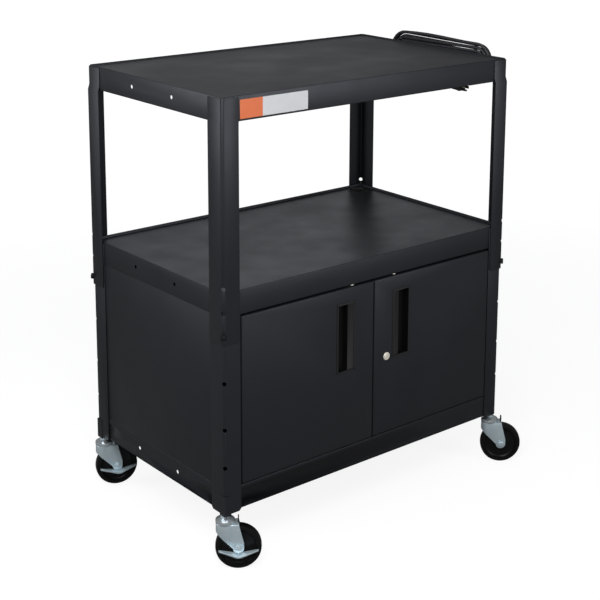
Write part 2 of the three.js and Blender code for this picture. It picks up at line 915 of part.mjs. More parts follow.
// A flat of the tread lies on the floor
function casterWheel() {
  const bore = axleDiameter / 2 + seatGap;
  const hub = wheelHubDiameter / 2;
  const hubHalf = forkInnerWidth / 2 - seatGap;
  const half = wheelWidth / 2;
  const web = wheelWebThickness / 2;
  const tread = wheelRadius / Math.cos(Math.PI / wheelSides);
  const rim = tread - wheelRimWidth;
  const side = [
    [bore, hubHalf], [hub, hubHalf], [hub + wheelEdge, web], [rim, web], [rim, half],
    [tread - wheelEdge, half], [tread, half - wheelEdge],
  ];
  const profile = [...side, ...side.slice().reverse().map(([r, y]) => [r, -y]), side[0]];
  const points = profile.map(([r, y]) => new THREE.Vector2(r, -y));
  const geometry = new THREE.LatheGeometry(points, wheelSides, Math.PI / wheelSides);
  geometry.translate(wheelTrail, 0, wheelRadius);
  return solid(geometry);
}

function brakeLever() {
  const inner = -(forkInnerWidth / 2 + forkSheet + seatGap);
  const dip = wheelRadius - brakeDrop;
  const rise = dip + brakeRise;
  const strip = plateAcross([
    [wheelTrail - brakeHalfSpan, rise], [wheelTrail - brakeHalfSpan, rise - brakeSheet],
    [wheelTrail, dip - brakeSheet], [wheelTrail + brakeHalfSpan, rise - brakeSheet],
    [wheelTrail + brakeHalfSpan, rise], [wheelTrail, dip],
  ], inner - brakeWidth, inner);
  const hub = acrossWheel(brakeHubDiameter, inner - brakeHubThickness, inner, roundSides);
  const bore = acrossWheel(
    axleDiameter + 2 * seatGap, inner - brakeHubThickness - overrun, inner + overrun, smallSides,
  );
  return strip.add(hub).subtract(bore);
}

// Outlet unit
function unitZ() {
  return topPanTop - unitBelowLip;
}

function unitFront() {
  return halfWidth + unitDepth;
}

// The innermost top run winds in towards the rear, so it is lowest at the saddle's rear end
function saddleTop() {
  const rearEnd = (saddleShift + saddleLength / 2) / turnHalfRun;
  const turn = (turnCount - 1 + runShare() * (1 + rearEnd)) / 2;
  return unitZ() + turnRadius(turn) - cordRadius - seatGap;
}

function outletHousing() {
  const y0 = unitCentreY - unitLength / 2;
  const y1 = unitCentreY + unitLength / 2;
  const z0 = unitZ() - unitHeight / 2;
  const z1 = unitZ() + unitHeight / 2;
  const keeperX = layerX(1) + cordRadius + keeperGap;
  const saddleX = halfWidth + saddleInset;
  let shape = block(halfWidth, unitFront(), y0, y1, z0, z1).subtract(block(
    halfWidth - overrun, unitFront() - unitSheet, y0 + unitSheet, y1 - unitSheet,
    z0 + unitSheet, z1 - unitSheet,
  ));
  const saddleY = unitCentreY + saddleShift;
  shape = shape.add(block(
    saddleX, saddleX + saddleWidth, saddleY - saddleLength / 2, saddleY + saddleLength / 2,
    z1 - unitSheet, saddleTop(),
  ));
  const keeperY = unitCentreY + keeperShift;
  shape = shape.add(block(
    keeperX, keeperX + keeperSheet, keeperY - keeperLength / 2, keeperY + keeperLength / 2,
    z0 - keeperDrop, z0 + unitSheet,
  ));
  const half = { y: outletLength / 2 + seatGap, z: outletHeight / 2 + seatGap };
  return outletCentres().reduce((body, y) => body.subtract(block(
    unitFront() - unitSheet - overrun, unitFront() + overrun, y - half.y, y + half.y,
    unitZ() - half.z, unitZ() + half.z,
  )), shape);
}

function outletCentres() {
  return [-1, 0, 1].map((step) => unitCentreY + step * outletSpacing);
}

function outlet(y) {
  const face = unitFront() + outletFlangeThickness;
  const body = block(
    unitFront() - outletBodyDepth, face, y - outletLength / 2, y + outletLength / 2,
    unitZ() - outletHeight / 2, unitZ() + outletHeight / 2,
  );
  const flange = block(
    unitFront(), face, y - outletLength / 2 - outletFlange, y + outletLength / 2 + outletFlange,
    unitZ() - outletHeight / 2 - outletFlange, unitZ() + outletHeight / 2 + outletFlange,
  );
  const slots = [-1, 1].map((side) => block(
    face - outletSlotDepth, face + overrun,
    y + side * outletSlotHalfSpacing - outletSlotWidth / 2,
    y + side * outletSlotHalfSpacing + outletSlotWidth / 2,
    unitZ() + outletSlotRise - outletSlotHeight / 2, unitZ() + outletSlotRise + outletSlotHeight / 2,
  ));
  const ground = rod(
    outletGroundDiameter,
    new THREE.Vector3(face - outletSlotDepth, y, unitZ() - outletGroundDrop),
    new THREE.Vector3(face + overrun, y, unitZ() - outletGroundDrop), smallSides,
  );
  return body.add(flange).subtract(wasm.Manifold.union([...slots, ground]));
}

// Power cord
// A turn is a run along the bottom, a half round at the front end, a run along the top and a half
// round at the rear end. Turns are counted from the rear end of the first bottom run.
function runShare() {
  const meanRadius = innerTurnRadius + (turnPitch * turnCount) / 4;
  return turnHalfRun / (2 * turnHalfRun + Math.PI * meanRadius);
}

function reverseTurn() {
  return (turnCount + runShare()) / 2;
}

// The spiral winds in at a steady rate and, past the reversal, out again
function turnRadius(turn) {
  return innerTurnRadius + turnPitch * Math.abs(turn - reverseTurn()) + looseness(turn);
}

// The first turn is wound loosely: along its top it stands off the turns inside it
function looseness(turn) {
  const half = (turn - 0.5) * 2;
  return half > 0 && half < 1 ? looseRise * Math.sin(Math.PI * half) ** 2 : 0;
}

function leadX() {
  return halfWidth + leadOffset;
}

function layerX(layer) {
  return leadX() + layerPitch * (layer + 1);
}

function ease(share) {
  const t = Math.min(Math.max(share, 0), 1);
  return t * t * (3 - 2 * t);
}

// The lead climbs to the first layer along the first bottom run, and the first layer to the second
// along the bottom run where the spiral reverses
function turnX(turn) {
  const first = ease(turn / runShare());
  const second = ease((turn - turnCount / 2) / runShare());
  return leadX() + layerPitch * (first + second);
}

// The front bends lean: their lower ends stand back from their upper ones
function setBack(y, z) {
  const forward = Math.min(Math.max(-y / turnHalfRun, 0), 1);
  return (bottomSetBack * forward * (1 - z / turnRadius(0))) / 2;
}

function turnPoint(turn) {
  const share = turn - Math.floor(turn);
  const run = runShare();
  const bend = 0.5 - run;
  const radius = turnRadius(turn);
  const x = turnX(turn);
  const point = (y, z) => new THREE.Vector3(x, unitCentreY + y + setBack(y, z), unitZ() + z);
  if (share < run) return point(turnHalfRun * (1 - (2 * share) / run), -radius);
  if (share < 0.5) {
    const angle = (Math.PI * (share - run)) / bend;
    return point(-turnHalfRun - radius * Math.sin(angle), -radius * Math.cos(angle));
  }
  if (share < 0.5 + run) return point(turnHalfRun * ((2 * (share - 0.5)) / run - 1), radius);
  const angle = (Math.PI * (share - 0.5 - run)) / bend;
  return point(turnHalfRun + radius * Math.sin(angle), radius * Math.cos(angle));
}

// Places along one turn, in even steps along each run and each half round
function turnShares() {
  const run = runShare();
  const even = (from, to, steps) => Array.from(
    { length: steps }, (_, i) => from + ((to - from) * i) / steps,
  );
  return [
    ...even(0, run, runSteps), ...even(run, 0.5, bendSteps),
    ...even(0.5, 0.5 + run, runSteps), ...even(0.5 + run, 1, bendSteps),
  ];
}

function reliefEndY() {
  return unitCentreY + unitLength / 2 + reliefLength;
}

function leadTopZ() {
  return unitZ() - turnRadius(0) + 2 * leadBendRadius;
}

// Points of the wound cord: out of the strain relief, round a half bend, through the turns and
// straight off the outer turn
function loopPoints() {
  const start = reliefEndY() + seatGap;
  const bendY = start + cordDiameter;
  const bendZ = leadTopZ() - leadBendRadius;
  const points = [new THREE.Vector3(leadX(), start, leadTopZ())];
  for (let i = 0; i <= leadBendSteps; i += 1) {
    const angle = (Math.PI * i) / leadBendSteps;
    points.push(new THREE.Vector3(
      leadX(), bendY + leadBendRadius * Math.sin(angle), bendZ + leadBendRadius * Math.cos(angle),
    ));
  }
  const shares = turnShares();
  for (let turn = 0; turn < turnCount; turn += 1) {
    shares.forEach((share) => points.push(turnPoint(turn + share)));
  }
  points.push(turnPoint(turnCount));
  const end = tailStartPoint();
  points.push(new THREE.Vector3(end.x, end.y + cordDiameter + seatGap, end.z));
  points.push(new THREE.Vector3(end.x, end.y + seatGap, end.z));
  return points;
}

// The tail leaves the last bottom run where the run passes tailStartY
function tailStartPoint() {
  const share = (1 - (tailStartY - unitCentreY) / turnHalfRun) / 2;
  return new THREE.Vector3(
    layerX(1), tailStartY, unitZ() - turnRadius(turnCount + share * runShare()),
  );
}

// The tail droops from the outer turn to the plug
function tailPoints() {
  const start = tailStartPoint();
  const endY = plugRearY + seatGap;
  const slopeStart = start.y - cordDiameter;
  const slopeEnd = endY + cordDiameter;
  const points = [start];
  for (let i = 0; i <= tailSteps; i += 1) {
    const share = i / tailSteps;
    points.push(new THREE.Vector3(
      start.x, slopeStart + (slopeEnd - slopeStart) * share, start.z - tailDrop * ease(share),
    ));
  }
  points.push(new THREE.Vector3(start.x, endY, start.z - tailDrop));
  return points;
}

// A tube through the points. Its sections stay upright to the cord's plane, so it never twists.
function cordTube(points, sides) {
  const across = new THREE.Vector3(1, 0, 0);
  const rings = points.map((point, i) => {
    const before = points[Math.max(i - 1, 0)];
    const after = points[Math.min(i + 1, points.length - 1)];
    const ahead = after.clone().sub(before).normalize();
    const up = ahead.clone().cross(across).normalize();
    const side = up.clone().cross(ahead).normalize();
    return Array.from({ length: sides }, (_, k) => {
      const angle = (2 * Math.PI * k) / sides;
      return point.clone().addScaledVector(side, cordRadius * Math.cos(angle))
        .addScaledVector(up, cordRadius * Math.sin(angle));
    });
  });
  return skin(rings);
}

// Least gap of the wound cord to itself, between places more than a bend apart along it
function leastCordGap(points) {
  const dense = [];
  points.slice(1).forEach((point, i) => {
    const from = points[i];
    const steps = Math.ceil(from.distanceTo(point) / (cordDiameter / 2));
    for (let k = 0; k < steps; k += 1) dense.push(from.clone().lerp(point, k / steps));
  });
  const length = [0];
  dense.slice(1).forEach((point, i) => length.push(length[i] + point.distanceTo(dense[i])));
  let least = Infinity;
  for (let i = 0; i < dense.length; i += 1) {
    for (let j = i + 1; j < dense.length; j += 1) {
      const apart = length[j] - length[i];
      if (apart > Math.PI * innerTurnRadius) {
        least = Math.min(least, dense[i].distanceTo(dense[j]));
      }
    }
  }
  return least - cordDiameter;
}

function pathLength(points) {
  return points.slice(1).reduce((sum, point, i) => sum + point.distanceTo(points[i]), 0);
}

function strainRelief() {
  const start = unitCentreY + unitLength / 2;
  const middle = start + reliefLength / 2;
  const along = (y) => new THREE.Vector3(leadX(), y, leadTopZ());
  const ring = (y, diameter) => Array.from({ length: smallSides }, (_, k) => {
    const angle = (2 * Math.PI * k) / smallSides;
    return along(y).add(new THREE.Vector3(
      (diameter / 2) * Math.sin(angle), 0, (diameter / 2) * Math.cos(angle),
    ));
  });
  const boot = skin([
    ring(start, reliefDiameter), ring(middle, reliefDiameter),
    ring(start + reliefLength, reliefEndDiameter),
  ]);
  return boot.subtract(block(
    leadX() - reliefDiameter, halfWidth + seatGap, start - overrun, reliefEndY() + overrun,
    leadTopZ() - reliefDiameter, leadTopZ() + reliefDiameter,
  ));
}

// The plug: a moulded grip that swells from its neck, two blades and a ground pin
function powerPlug() {
  const x = layerX(1);
  const z = tailStartPoint().z - tailDrop;
  const rear = plugRearY;
  const shoulder = rear - plugLength * plugNeckShare;
  const face = rear - plugLength;
  const ring = (y, width, height) => Array.from({ length: smallSides }, (_, k) => {
    const angle = (2 * Math.PI * (k + 0.5)) / smallSides;
    const squared = (v) => Math.sign(v) * Math.sqrt(Math.abs(v));
    return new THREE.Vector3(
      x - (width / 2) * squared(Math.sin(angle)), y, z + (height / 2) * squared(Math.cos(angle)),
    );
  });
  const grip = skin([
    ring(rear, plugNeckDiameter, plugNeckDiameter),
    ring(shoulder, plugWidth, plugHeight),
    ring(face, plugWidth, plugHeight),
  ]);
  const blades = [-1, 1].map((side) => block(
    x + side * prongHalfSpacing - prongThickness / 2, x + side * prongHalfSpacing + prongThickness / 2,
    face - prongLength, face + jointOverlap,
    z + prongRise - prongHeight / 2, z + prongRise + prongHeight / 2,
  ));
  const ground = rod(
    groundProngDiameter, new THREE.Vector3(x, face - prongLength, z - groundProngDrop),
    new THREE.Vector3(x, face + jointOverlap, z - groundProngDrop), smallSides,
  );
  return wasm.Manifold.union([grip, ...blades, ground]);
}

// Assembly
const cart = new THREE.Group();

cart.add(mesh('bottom_pan', blackPowderCoat, bottomPan()));
cart.add(mesh('middle_pan', blackPowderCoat, middlePan()));
cart.add(mesh('top_pan', blackPowderCoat, pan(topPanTop)));
cart.add(mesh('top_mat', rubberMat, topMat()));
cart.add(mesh('front_label', labelFilm, frontLabel()));
cart.add(mesh('cable_grommet', blackPlastic, grommet()));

corners.forEach((corner) => {
  cart.add(mesh(`lower_leg_${corner.name}`, blackPowderCoat, lowerLeg(corner)));
  cart.add(mesh(`upper_leg_${corner.name}`, blackPowderCoat, upperLeg(corner)));
  cart.add(mesh(`height_bolt_${corner.name}`, blackOxide, heightBolt(corner)));
});

cart.add(mesh('side_panel_left', blackPowderCoat, sidePanel(-1)));
cart.add(mesh('side_panel_right', blackPowderCoat, sidePanel(1)));
cart.add(mesh('rear_panel', blackPowderCoat, rearPanel()));

cart.add(mesh('door_left', blackPowderCoat, door(-1)));
cart.add(mesh('door_right', blackPowderCoat, rightDoor()));
[['left', -1], ['right', 1]].forEach(([name, side]) => {
  cart.add(mesh(`door_pull_${name}`, blackPlastic, doorPull(side)));
  cart.add(mesh(`door_catch_${name}`, zincPlate, doorCatch(side)));
  cart.add(mesh(`hinge_pin_top_${name}`, zincPlate, hingePin(side, true)));
  cart.add(mesh(`hinge_pin_bottom_${name}`, zincPlate, hingePin(side, false)));
});

cart.add(mesh('lock_housing', chrome, lockHousing()));
cart.add(mesh('lock_plug', chrome, lockPlug()));
cart.add(mesh('lock_cam', zincPlate, lockCam()));

corners.forEach((corner) => {
  const caster = new THREE.Group();
  const braked = brakedCorners.includes(corner.name);
  caster.add(mesh(`caster_stem_${corner.name}`, chrome, casterStem()));
  caster.add(mesh(`caster_fork_${corner.name}`, zincPlate, casterFork()));
  caster.add(mesh(`caster_axle_${corner.name}`, zincPlate, casterAxle(braked)));
  caster.add(mesh(`caster_wheel_${corner.name}`, blackRubber, casterWheel()));
  if (braked) caster.add(mesh(`brake_lever_${corner.name}`, zincPlate, brakeLever()));
  caster.position.set(
    corner.x * (halfWidth - casterInsetX), corner.y * (halfDepth - casterInsetY), 0,
  );
  caster.rotation.z = THREE.MathUtils.degToRad(trailAngles[corner.name]);
  cart.add(caster);
});

cart.add(mesh('outlet_housing', blackPowderCoat, outletHousing()));
outletCentres().forEach((y, i) => {
  cart.add(mesh(`outlet_${i + 1}`, blackPlastic, outlet(y)));
});
cart.add(mesh('cord_strain_relief', blackPlastic, strainRelief()));
const loops = loopPoints();
const tail = tailPoints();
cart.add(mesh('power_cord_loops', cordJacket, cordTube(loops, cordSides)));
cart.add(mesh('power_cord_tail', cordJacket, cordTube(tail, tailSides)));
cart.add(mesh('power_plug', blackPlastic, powerPlug()));

const metres = (value) => (value / 1000).toFixed(3);
console.log(`cord: ${metres(pathLength(loops) + pathLength(tail))} m,`
  + ` least gap to itself ${leastCordGap(loops).toFixed(2)} mm`);

export default cart;
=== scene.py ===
# %% [markdown]
# # An audio visual cart
# The real cart is folded sheet steel with a satin black coat: three tray shelves welded to corner
# legs, a cabinet with two doors between the lower shelves, and an upper half that slides down over
# the lower one. It stands on four swivel casters, and a power cord is wound on an outlet unit.
# The solids come packed, with their joints. This lesson gives each of them its folds, rounded
# edges and finish, in the order in which a workshop would make them.

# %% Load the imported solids
from math import cos, pi, radians, sin

import bmesh
import bpy
from mathutils import Matrix, Vector


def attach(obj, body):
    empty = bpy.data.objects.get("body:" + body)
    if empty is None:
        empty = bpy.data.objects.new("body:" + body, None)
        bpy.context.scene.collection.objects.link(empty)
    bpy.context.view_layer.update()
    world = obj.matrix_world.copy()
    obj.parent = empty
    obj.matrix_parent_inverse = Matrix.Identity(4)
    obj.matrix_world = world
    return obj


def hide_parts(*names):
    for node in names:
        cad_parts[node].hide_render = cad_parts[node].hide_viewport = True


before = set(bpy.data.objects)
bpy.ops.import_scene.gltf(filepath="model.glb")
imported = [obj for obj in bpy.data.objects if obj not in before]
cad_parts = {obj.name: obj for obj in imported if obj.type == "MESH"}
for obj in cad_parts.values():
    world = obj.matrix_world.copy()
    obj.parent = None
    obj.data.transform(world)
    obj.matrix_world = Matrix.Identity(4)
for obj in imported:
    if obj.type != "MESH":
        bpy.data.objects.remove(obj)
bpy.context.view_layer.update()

MM = 0.001

# %% [markdown]
# ## The camera
# A camera can be placed by eye, or worked out from the straight edges of the real cart. Worked out
# once, it holds for every later step, so this comes first. The shift puts the frame where the
# picture has it without tilting the uprights.

# %% Place the camera
CAMERA_PLACE = Vector((-1925.453, -2387.870, 1506.051)) * MM
CAMERA_TURN, CAMERA_TILT, CAMERA_ROLL = (radians(v) for v in (40.463, -11.728, 0.505))
FRAME_PIXELS = 600
LENS_PIXELS = 1360.885
AXIS_PIXEL = (338.833, 121.317)
SENSOR = 36

ahead = Vector((
    sin(CAMERA_TURN) * cos(CAMERA_TILT),
    cos(CAMERA_TURN) * cos(CAMERA_TILT),
    sin(CAMERA_TILT),
))
level = Vector((cos(CAMERA_TURN), -sin(CAMERA_TURN), 0))
upright = level.cross(ahead)
right = cos(CAMERA_ROLL) * level + sin(CAMERA_ROLL) * upright
above = cos(CAMERA_ROLL) * upright - sin(CAMERA_ROLL) * level
scene = bpy.context.scene
lens = bpy.data.cameras.new("camera")
lens.sensor_width = SENSOR
lens.lens = LENS_PIXELS / FRAME_PIXELS * SENSOR
lens.shift_x = 0.5 - AXIS_PIXEL[0] / FRAME_PIXELS
lens.shift_y = AXIS_PIXEL[1] / FRAME_PIXELS - 0.5
camera = bpy.data.objects.new("camera", lens)
scene.collection.objects.link(camera)
attitude = Matrix((right, above, -ahead)).transposed().to_4x4()
camera.matrix_world = Matrix.Translation(CAMERA_PLACE) @ attitude
scene.camera = camera
print("lens:", round(lens.lens, 1), "mm")

# %% [markdown]
# ## The power cord
# The real cord is a stiff 8 mm mains lead, 4.6 m long. It leaves the outlet unit through a strain
# relief, bends down, is wound in two layers round a saddle over the unit and a keeper under it, and
# ends in its plug. A simulation could drop it there, but a wound cord keeps its turns, so the route
# is worked out turn by turn and a curve is laid along it.

# %% Work out the cord's route
CORD = 8
UNIT_MIDDLE = (-20, 979.7)
TURNS = 6
TURN_PITCH = 9
INNER_TURN = 24
HALF_RUN = 127
LOOSE_RISE = 6
BOTTOM_SET_BACK = 20
LEAD_X = 411.5
LAYER_PITCH = 9
LEAD_BEND = 31
CORD_EXIT_Y = 113.3
TAIL_START_Y = 60
TAIL_DROP = 17
TAIL_END_Y = -53.7
ARC_STEPS, RUN_STEPS, BEND_STEPS = 12, 6, 14

mean_turn = INNER_TURN + TURN_PITCH * TURNS / 4
run_share = HALF_RUN / (2 * HALF_RUN + pi * mean_turn)
reverse_turn = (TURNS + run_share) / 2


def turn_radius(turn):
    """The spiral winds in and out again; the first turn's top stands off the turns inside it."""
    half = (turn - 0.5) * 2
    loose = LOOSE_RISE * sin(pi * half) ** 2 if 0 < half < 1 else 0
    return INNER_TURN + TURN_PITCH * abs(turn - reverse_turn) + loose


def ease(share):
    share = min(max(share, 0), 1)
    return share * share * (3 - 2 * share)


def turn_point(turn):
    """A point of the wound cord, counted in turns from the rear end of the first bottom run."""
    share, radius = turn % 0.5, turn_radius(turn)
    layers = ease(turn / run_share) + ease((turn - TURNS / 2) / run_share)
    if share < run_share:
        y, z = HALF_RUN * (1 - 2 * share / run_share), -radius
    else:
        angle = pi * (share - run_share) / (0.5 - run_share)
        y, z = -HALF_RUN - radius * sin(angle), -radius * cos(angle)
    if turn % 1 >= 0.5:
        y, z = -y, -z
    y += BOTTOM_SET_BACK * min(max(-y / HALF_RUN, 0), 1) * (1 - z / turn_radius(0)) / 2
    return Vector((LEAD_X + LAYER_PITCH * layers, UNIT_MIDDLE[0] + y, UNIT_MIDDLE[1] + z))


lead_top = UNIT_MIDDLE[1] - turn_radius(0) + 2 * LEAD_BEND
route = [Vector((LEAD_X, CORD_EXIT_Y, lead_top))]
for step in range(ARC_STEPS + 1):
    angle = pi * step / ARC_STEPS
    route.append(Vector((
        LEAD_X, CORD_EXIT_Y + CORD + LEAD_BEND * sin(angle),
        lead_top - LEAD_BEND * (1 - cos(angle)),
    )))
shares = [run_share * i / RUN_STEPS for i in range(RUN_STEPS)]
shares += [run_share + (0.5 - run_share) * i / BEND_STEPS for i in range(BEND_STEPS)]
route += [turn_point(half / 2 + share) for half in range(2 * TURNS) for share in shares]
route.append(turn_point(TURNS))
tail_share = (1 - (TAIL_START_Y - UNIT_MIDDLE[0]) / HALF_RUN) / 2
tail_z = UNIT_MIDDLE[1] - turn_radius(TURNS + tail_share * run_share)
tail_x = LEAD_X + 2 * LAYER_PITCH
slope_start, slope_end = TAIL_START_Y - CORD, TAIL_END_Y + CORD
route += [Vector((tail_x, TAIL_START_Y + CORD, tail_z)), Vector((tail_x, TAIL_START_Y, tail_z))]
for step in range(ARC_STEPS + 1):
    share = step / ARC_STEPS
    route.append(Vector((
        tail_x, slope_start + (slope_end - slope_start) * share, tail_z - TAIL_DROP * ease(share),
    )))
plug_z = tail_z - TAIL_DROP
route.append(Vector((tail_x, TAIL_END_Y, plug_z)))

# %% Lay the cord along its route
cord_line = bpy.data.curves.new("power_cord", "CURVE")
cord_line.dimensions = "3D"
cord_line.bevel_depth = 1
cord_line.bevel_resolution = 4
cord_line.use_fill_caps = True
line = cord_line.splines.new("POLY")
line.points.add(len(route) - 1)
for point, place in zip(line.points, route):
    point.co = (*(place * MM), 1)
    point.radius = CORD / 2 * MM
line.use_smooth = True
power_cord = bpy.data.objects.new("power_cord", cord_line)
scene.collection.objects.link(power_cord)
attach(power_cord, "upper")
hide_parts("power_cord_loops", "power_cord_tail")

# %% [markdown]
# ## Tools of the workshop
# Every piece starts as a primitive at its size and place, is shaped in edit mode, and is finished
# with modifiers. Operators act on whatever is selected, so each tool clears the selection and then
# picks faces, edges or corners by where they are and which way they point. All places, sizes and
# distances are in millimetres.

# %% Selecting and shaping
AXES = {"X": (1, 0, 0), "Y": (0, 1, 0), "Z": (0, 0, 1)}
FOLD_ANGLE = radians(35)


def clear():
    if bpy.context.mode != "OBJECT":
        bpy.ops.object.mode_set(mode="OBJECT")
    bpy.ops.object.select_all(action="DESELECT")


def hold(piece):
    """Makes one piece the only one selected, in object mode."""
    clear()
    piece.select_set(True)
    bpy.context.view_layer.objects.active = piece


def work(piece):
    """Opens a piece in edit mode with nothing picked."""
    hold(piece)
    bpy.ops.object.mode_set(mode="EDIT")
    bpy.ops.mesh.select_all(action="DESELECT")


def pick_all():
    bpy.ops.mesh.select_all(action="SELECT")


def pick(piece, kind, test):
    """Picks the faces, edges or corners whose middle and direction pass a test."""
    bpy.ops.mesh.select_mode(type=kind)
    bpy.ops.mesh.select_all(action="DESELECT")
    shape = bmesh.from_edit_mesh(piece.data)
    shape.normal_update()
    if kind == "FACE":
        for face in shape.faces:
            face.select_set(bool(test(face.calc_center_median() / MM, face.normal)))
    elif kind == "EDGE":
        for edge in shape.edges:
            a, b = (corner.co for corner in edge.verts)
            edge.select_set(bool(test((a + b) / 2 / MM, (b - a).normalized())))
    else:
        for corner in shape.verts:
            corner.select_set(bool(test(corner.co / MM, corner.normal)))
    bmesh.update_edit_mesh(piece.data)


def push(x, y, z):
    """Extrudes what is picked."""
    bpy.ops.mesh.extrude_region_move(TRANSFORM_OT_translate={"value": (x * MM, y * MM, z * MM)})


def move(x, y, z):
    bpy.ops.transform.translate(value=(x * MM, y * MM, z * MM))


def inset(width):
    bpy.ops.mesh.inset(thickness=width * MM)


def slice_across(axis, place, **settings):
    """Cuts new edges through what is picked, at a place on an axis."""
    middle = [place * MM * v for v in AXES[axis]]
    bpy.ops.mesh.bisect(plane_co=middle, plane_no=AXES[axis], **settings)


def round_off(radius, segments):
    bpy.ops.mesh.bevel(offset=radius * MM, segments=segments, affect="EDGES", clamp_overlap=True)


def round_folds(radius, segments=3):
    """Rounds every sharp fold of the piece in hand; open borders stay as they are."""
    bpy.ops.mesh.select_mode(type="EDGE")
    bpy.ops.mesh.select_all(action="DESELECT")
    bpy.ops.mesh.edges_select_sharp(sharpness=FOLD_ANGLE)
    round_off(radius, segments)
    pick_all()
    bpy.ops.mesh.remove_doubles(threshold=0.02 * MM)


def face_out():
    pick_all()
    bpy.ops.mesh.remove_doubles(threshold=0.002 * MM)
    bpy.ops.mesh.normals_make_consistent(inside=False)


print("shaping tools ready")

# %% Starting shapes
def named(name):
    """Names the primitive just added and keeps its place in its mesh."""
    piece = bpy.context.object
    piece.name = piece.data.name = name
    bpy.ops.object.transform_apply(location=True, rotation=True, scale=True)
    return piece


def slab(name, low, high):
    """A block between two corners."""
    low, high = Vector(low), Vector(high)
    size = Vector([abs(v) for v in high - low])
    clear()
    bpy.ops.mesh.primitive_cube_add(size=1, location=(low + high) / 2 * MM, scale=size * MM)
    return named(name)


def bar(name, start, end, diameter, sides=24):
    """A round or many-sided bar from one point to another."""
    start, end = Vector(start), Vector(end)
    clear()
    bpy.ops.mesh.primitive_cylinder_add(
        vertices=sides, radius=diameter / 2 * MM, depth=(end - start).length * MM,
        location=(start + end) / 2 * MM, rotation=(end - start).to_track_quat("Z", "Y").to_euler(),
    )
    return named(name)


def rounded_slab(name, low, high, axis, radius, segments):
    """A block whose edges along one axis are rounded, left open in edit mode."""
    piece = slab(name, low, high)
    work(piece)
    index = "XYZ".index(axis)
    pick(piece, "EDGE", lambda at, way: abs(way[index]) > 0.9)
    round_off(radius, segments)
    return piece


def closed_ring(name, places, fill):
    """A ring of corners, opened in edit mode with all of it picked."""
    clear()
    bpy.ops.mesh.primitive_circle_add(vertices=len(places), radius=MM, fill_type=fill)
    piece = named(name)
    work(piece)
    shape = bmesh.from_edit_mesh(piece.data)
    shape.verts.ensure_lookup_table()
    for corner, place in zip(shape.verts, places):
        corner.co = place * MM
    bmesh.update_edit_mesh(piece.data)
    pick_all()
    return piece


def arc(x, y, radius, turn, steps):
    """Points of an arc that starts on the right and turns by an angle in degrees."""
    angles = [radians(turn) * i / steps for i in range(steps + 1)]
    return [(x + radius * cos(a), y + radius * sin(a)) for a in angles]


def outline_sheet(name, points, thickness, flat="Z"):
    """A flat outline pushed along Z or Y: points are [a, b] pairs in the two other axes."""
    low, high = thickness
    places = [Vector((a, b, low) if flat == "Z" else (a, low, b)) for a, b in points]
    piece = closed_ring(name, places, "NGON")
    push(*((high - low) * v for v in AXES[flat]))
    face_out()
    return piece


def turned(name, profile, centre, axis, steps=40):
    """Spins a closed profile of [radius, distance along the axis] pairs."""
    centre, axis = Vector(centre), Vector(AXES[axis])
    out = axis.orthogonal().normalized()
    places = [centre + out * radius + axis * along for radius, along in profile]
    piece = closed_ring(name, places, "NOTHING")
    bpy.ops.mesh.spin(steps=steps, angle=2 * pi, center=centre * MM, axis=axis)
    face_out()
    return piece


print("starting shapes ready")

# %% Cutting, joining and finishing
def apply_modifier(piece, kind, **settings):
    hold(piece)
    modifier = piece.modifiers.new(kind.lower(), kind)
    for key, value in settings.items():
        setattr(modifier, key, value)
    bpy.ops.object.modifier_apply(modifier=modifier.name)


def cut(piece, *tools, operation="DIFFERENCE"):
    """Cuts each tool's shape out of a piece and takes the tool away."""
    for tool in tools:
        apply_modifier(piece, "BOOLEAN", operation=operation, solver="EXACT", object=tool)
        bpy.data.objects.remove(tool)


def join(piece, *others):
    hold(piece)
    for other in others:
        other.select_set(True)
    bpy.ops.object.join()


def fold_sheet(piece, thickness):
    """Gives an open shell the thickness of its sheet, inwards."""
    apply_modifier(
        piece, "SOLIDIFY", thickness=thickness * MM, offset=-1, use_quality_normals=True,
    )


def ease_edges(piece, radius, segments=2, smooth=35):
    """Breaks the sharp edges, as coating or moulding does, and smooths the curved faces."""
    if radius:
        apply_modifier(
            piece, "BEVEL", width=radius * MM, segments=segments, limit_method="ANGLE",
            angle_limit=FOLD_ANGLE, use_clamp_overlap=True,
        )
    hold(piece)
    bpy.ops.object.shade_smooth_by_angle(angle=radians(smooth))


def paint(piece, *finishes, second=None):
    """Gives a piece its finish; faces whose middle passes a test take the second of two."""
    for finish in finishes:
        piece.data.materials.append(finish)
    if second:
        for face in piece.data.polygons:
            face.material_index = int(second(face.center / MM))


def fit(piece, body, slot, *nodes):
    """Hangs a finished piece on its moving body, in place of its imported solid."""
    clear()
    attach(piece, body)
    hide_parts(*nodes)


def dress(piece, edges, finish, body, slot, name):
    """Eases a piece's edges, paints it and fits it."""
    ease_edges(piece, *edges)
    paint(piece, finish)
    fit(piece, body, slot, name)


SIDES = {"left": -1, "right": 1}
print("finishing tools ready")

# %% [markdown]
# ## The finishes
# A finish is a few nodes: a colour, how rough it is, and small bumps from a noise at the real size
# of the grain. The eye reads the grain more than the colour, so each finish gets its own. Patterns
# read object coordinates, which are the cart's own metres.

# %% Mixing a finish
def hex_colour(code):
    """An sRGB hex colour as the linear colour that the shader wants."""
    parts = [int(code[i:i + 2], 16) / 255 for i in (1, 3, 5)]
    return (*(v / 12.92 if v <= 0.04045 else ((v + 0.055) / 1.055) ** 2.4 for v in parts), 1)


def bare(finish):
    """Clears the nodes of a finish, or of the world."""
    finish.use_nodes = True
    finish.node_tree.nodes.clear()
    return finish


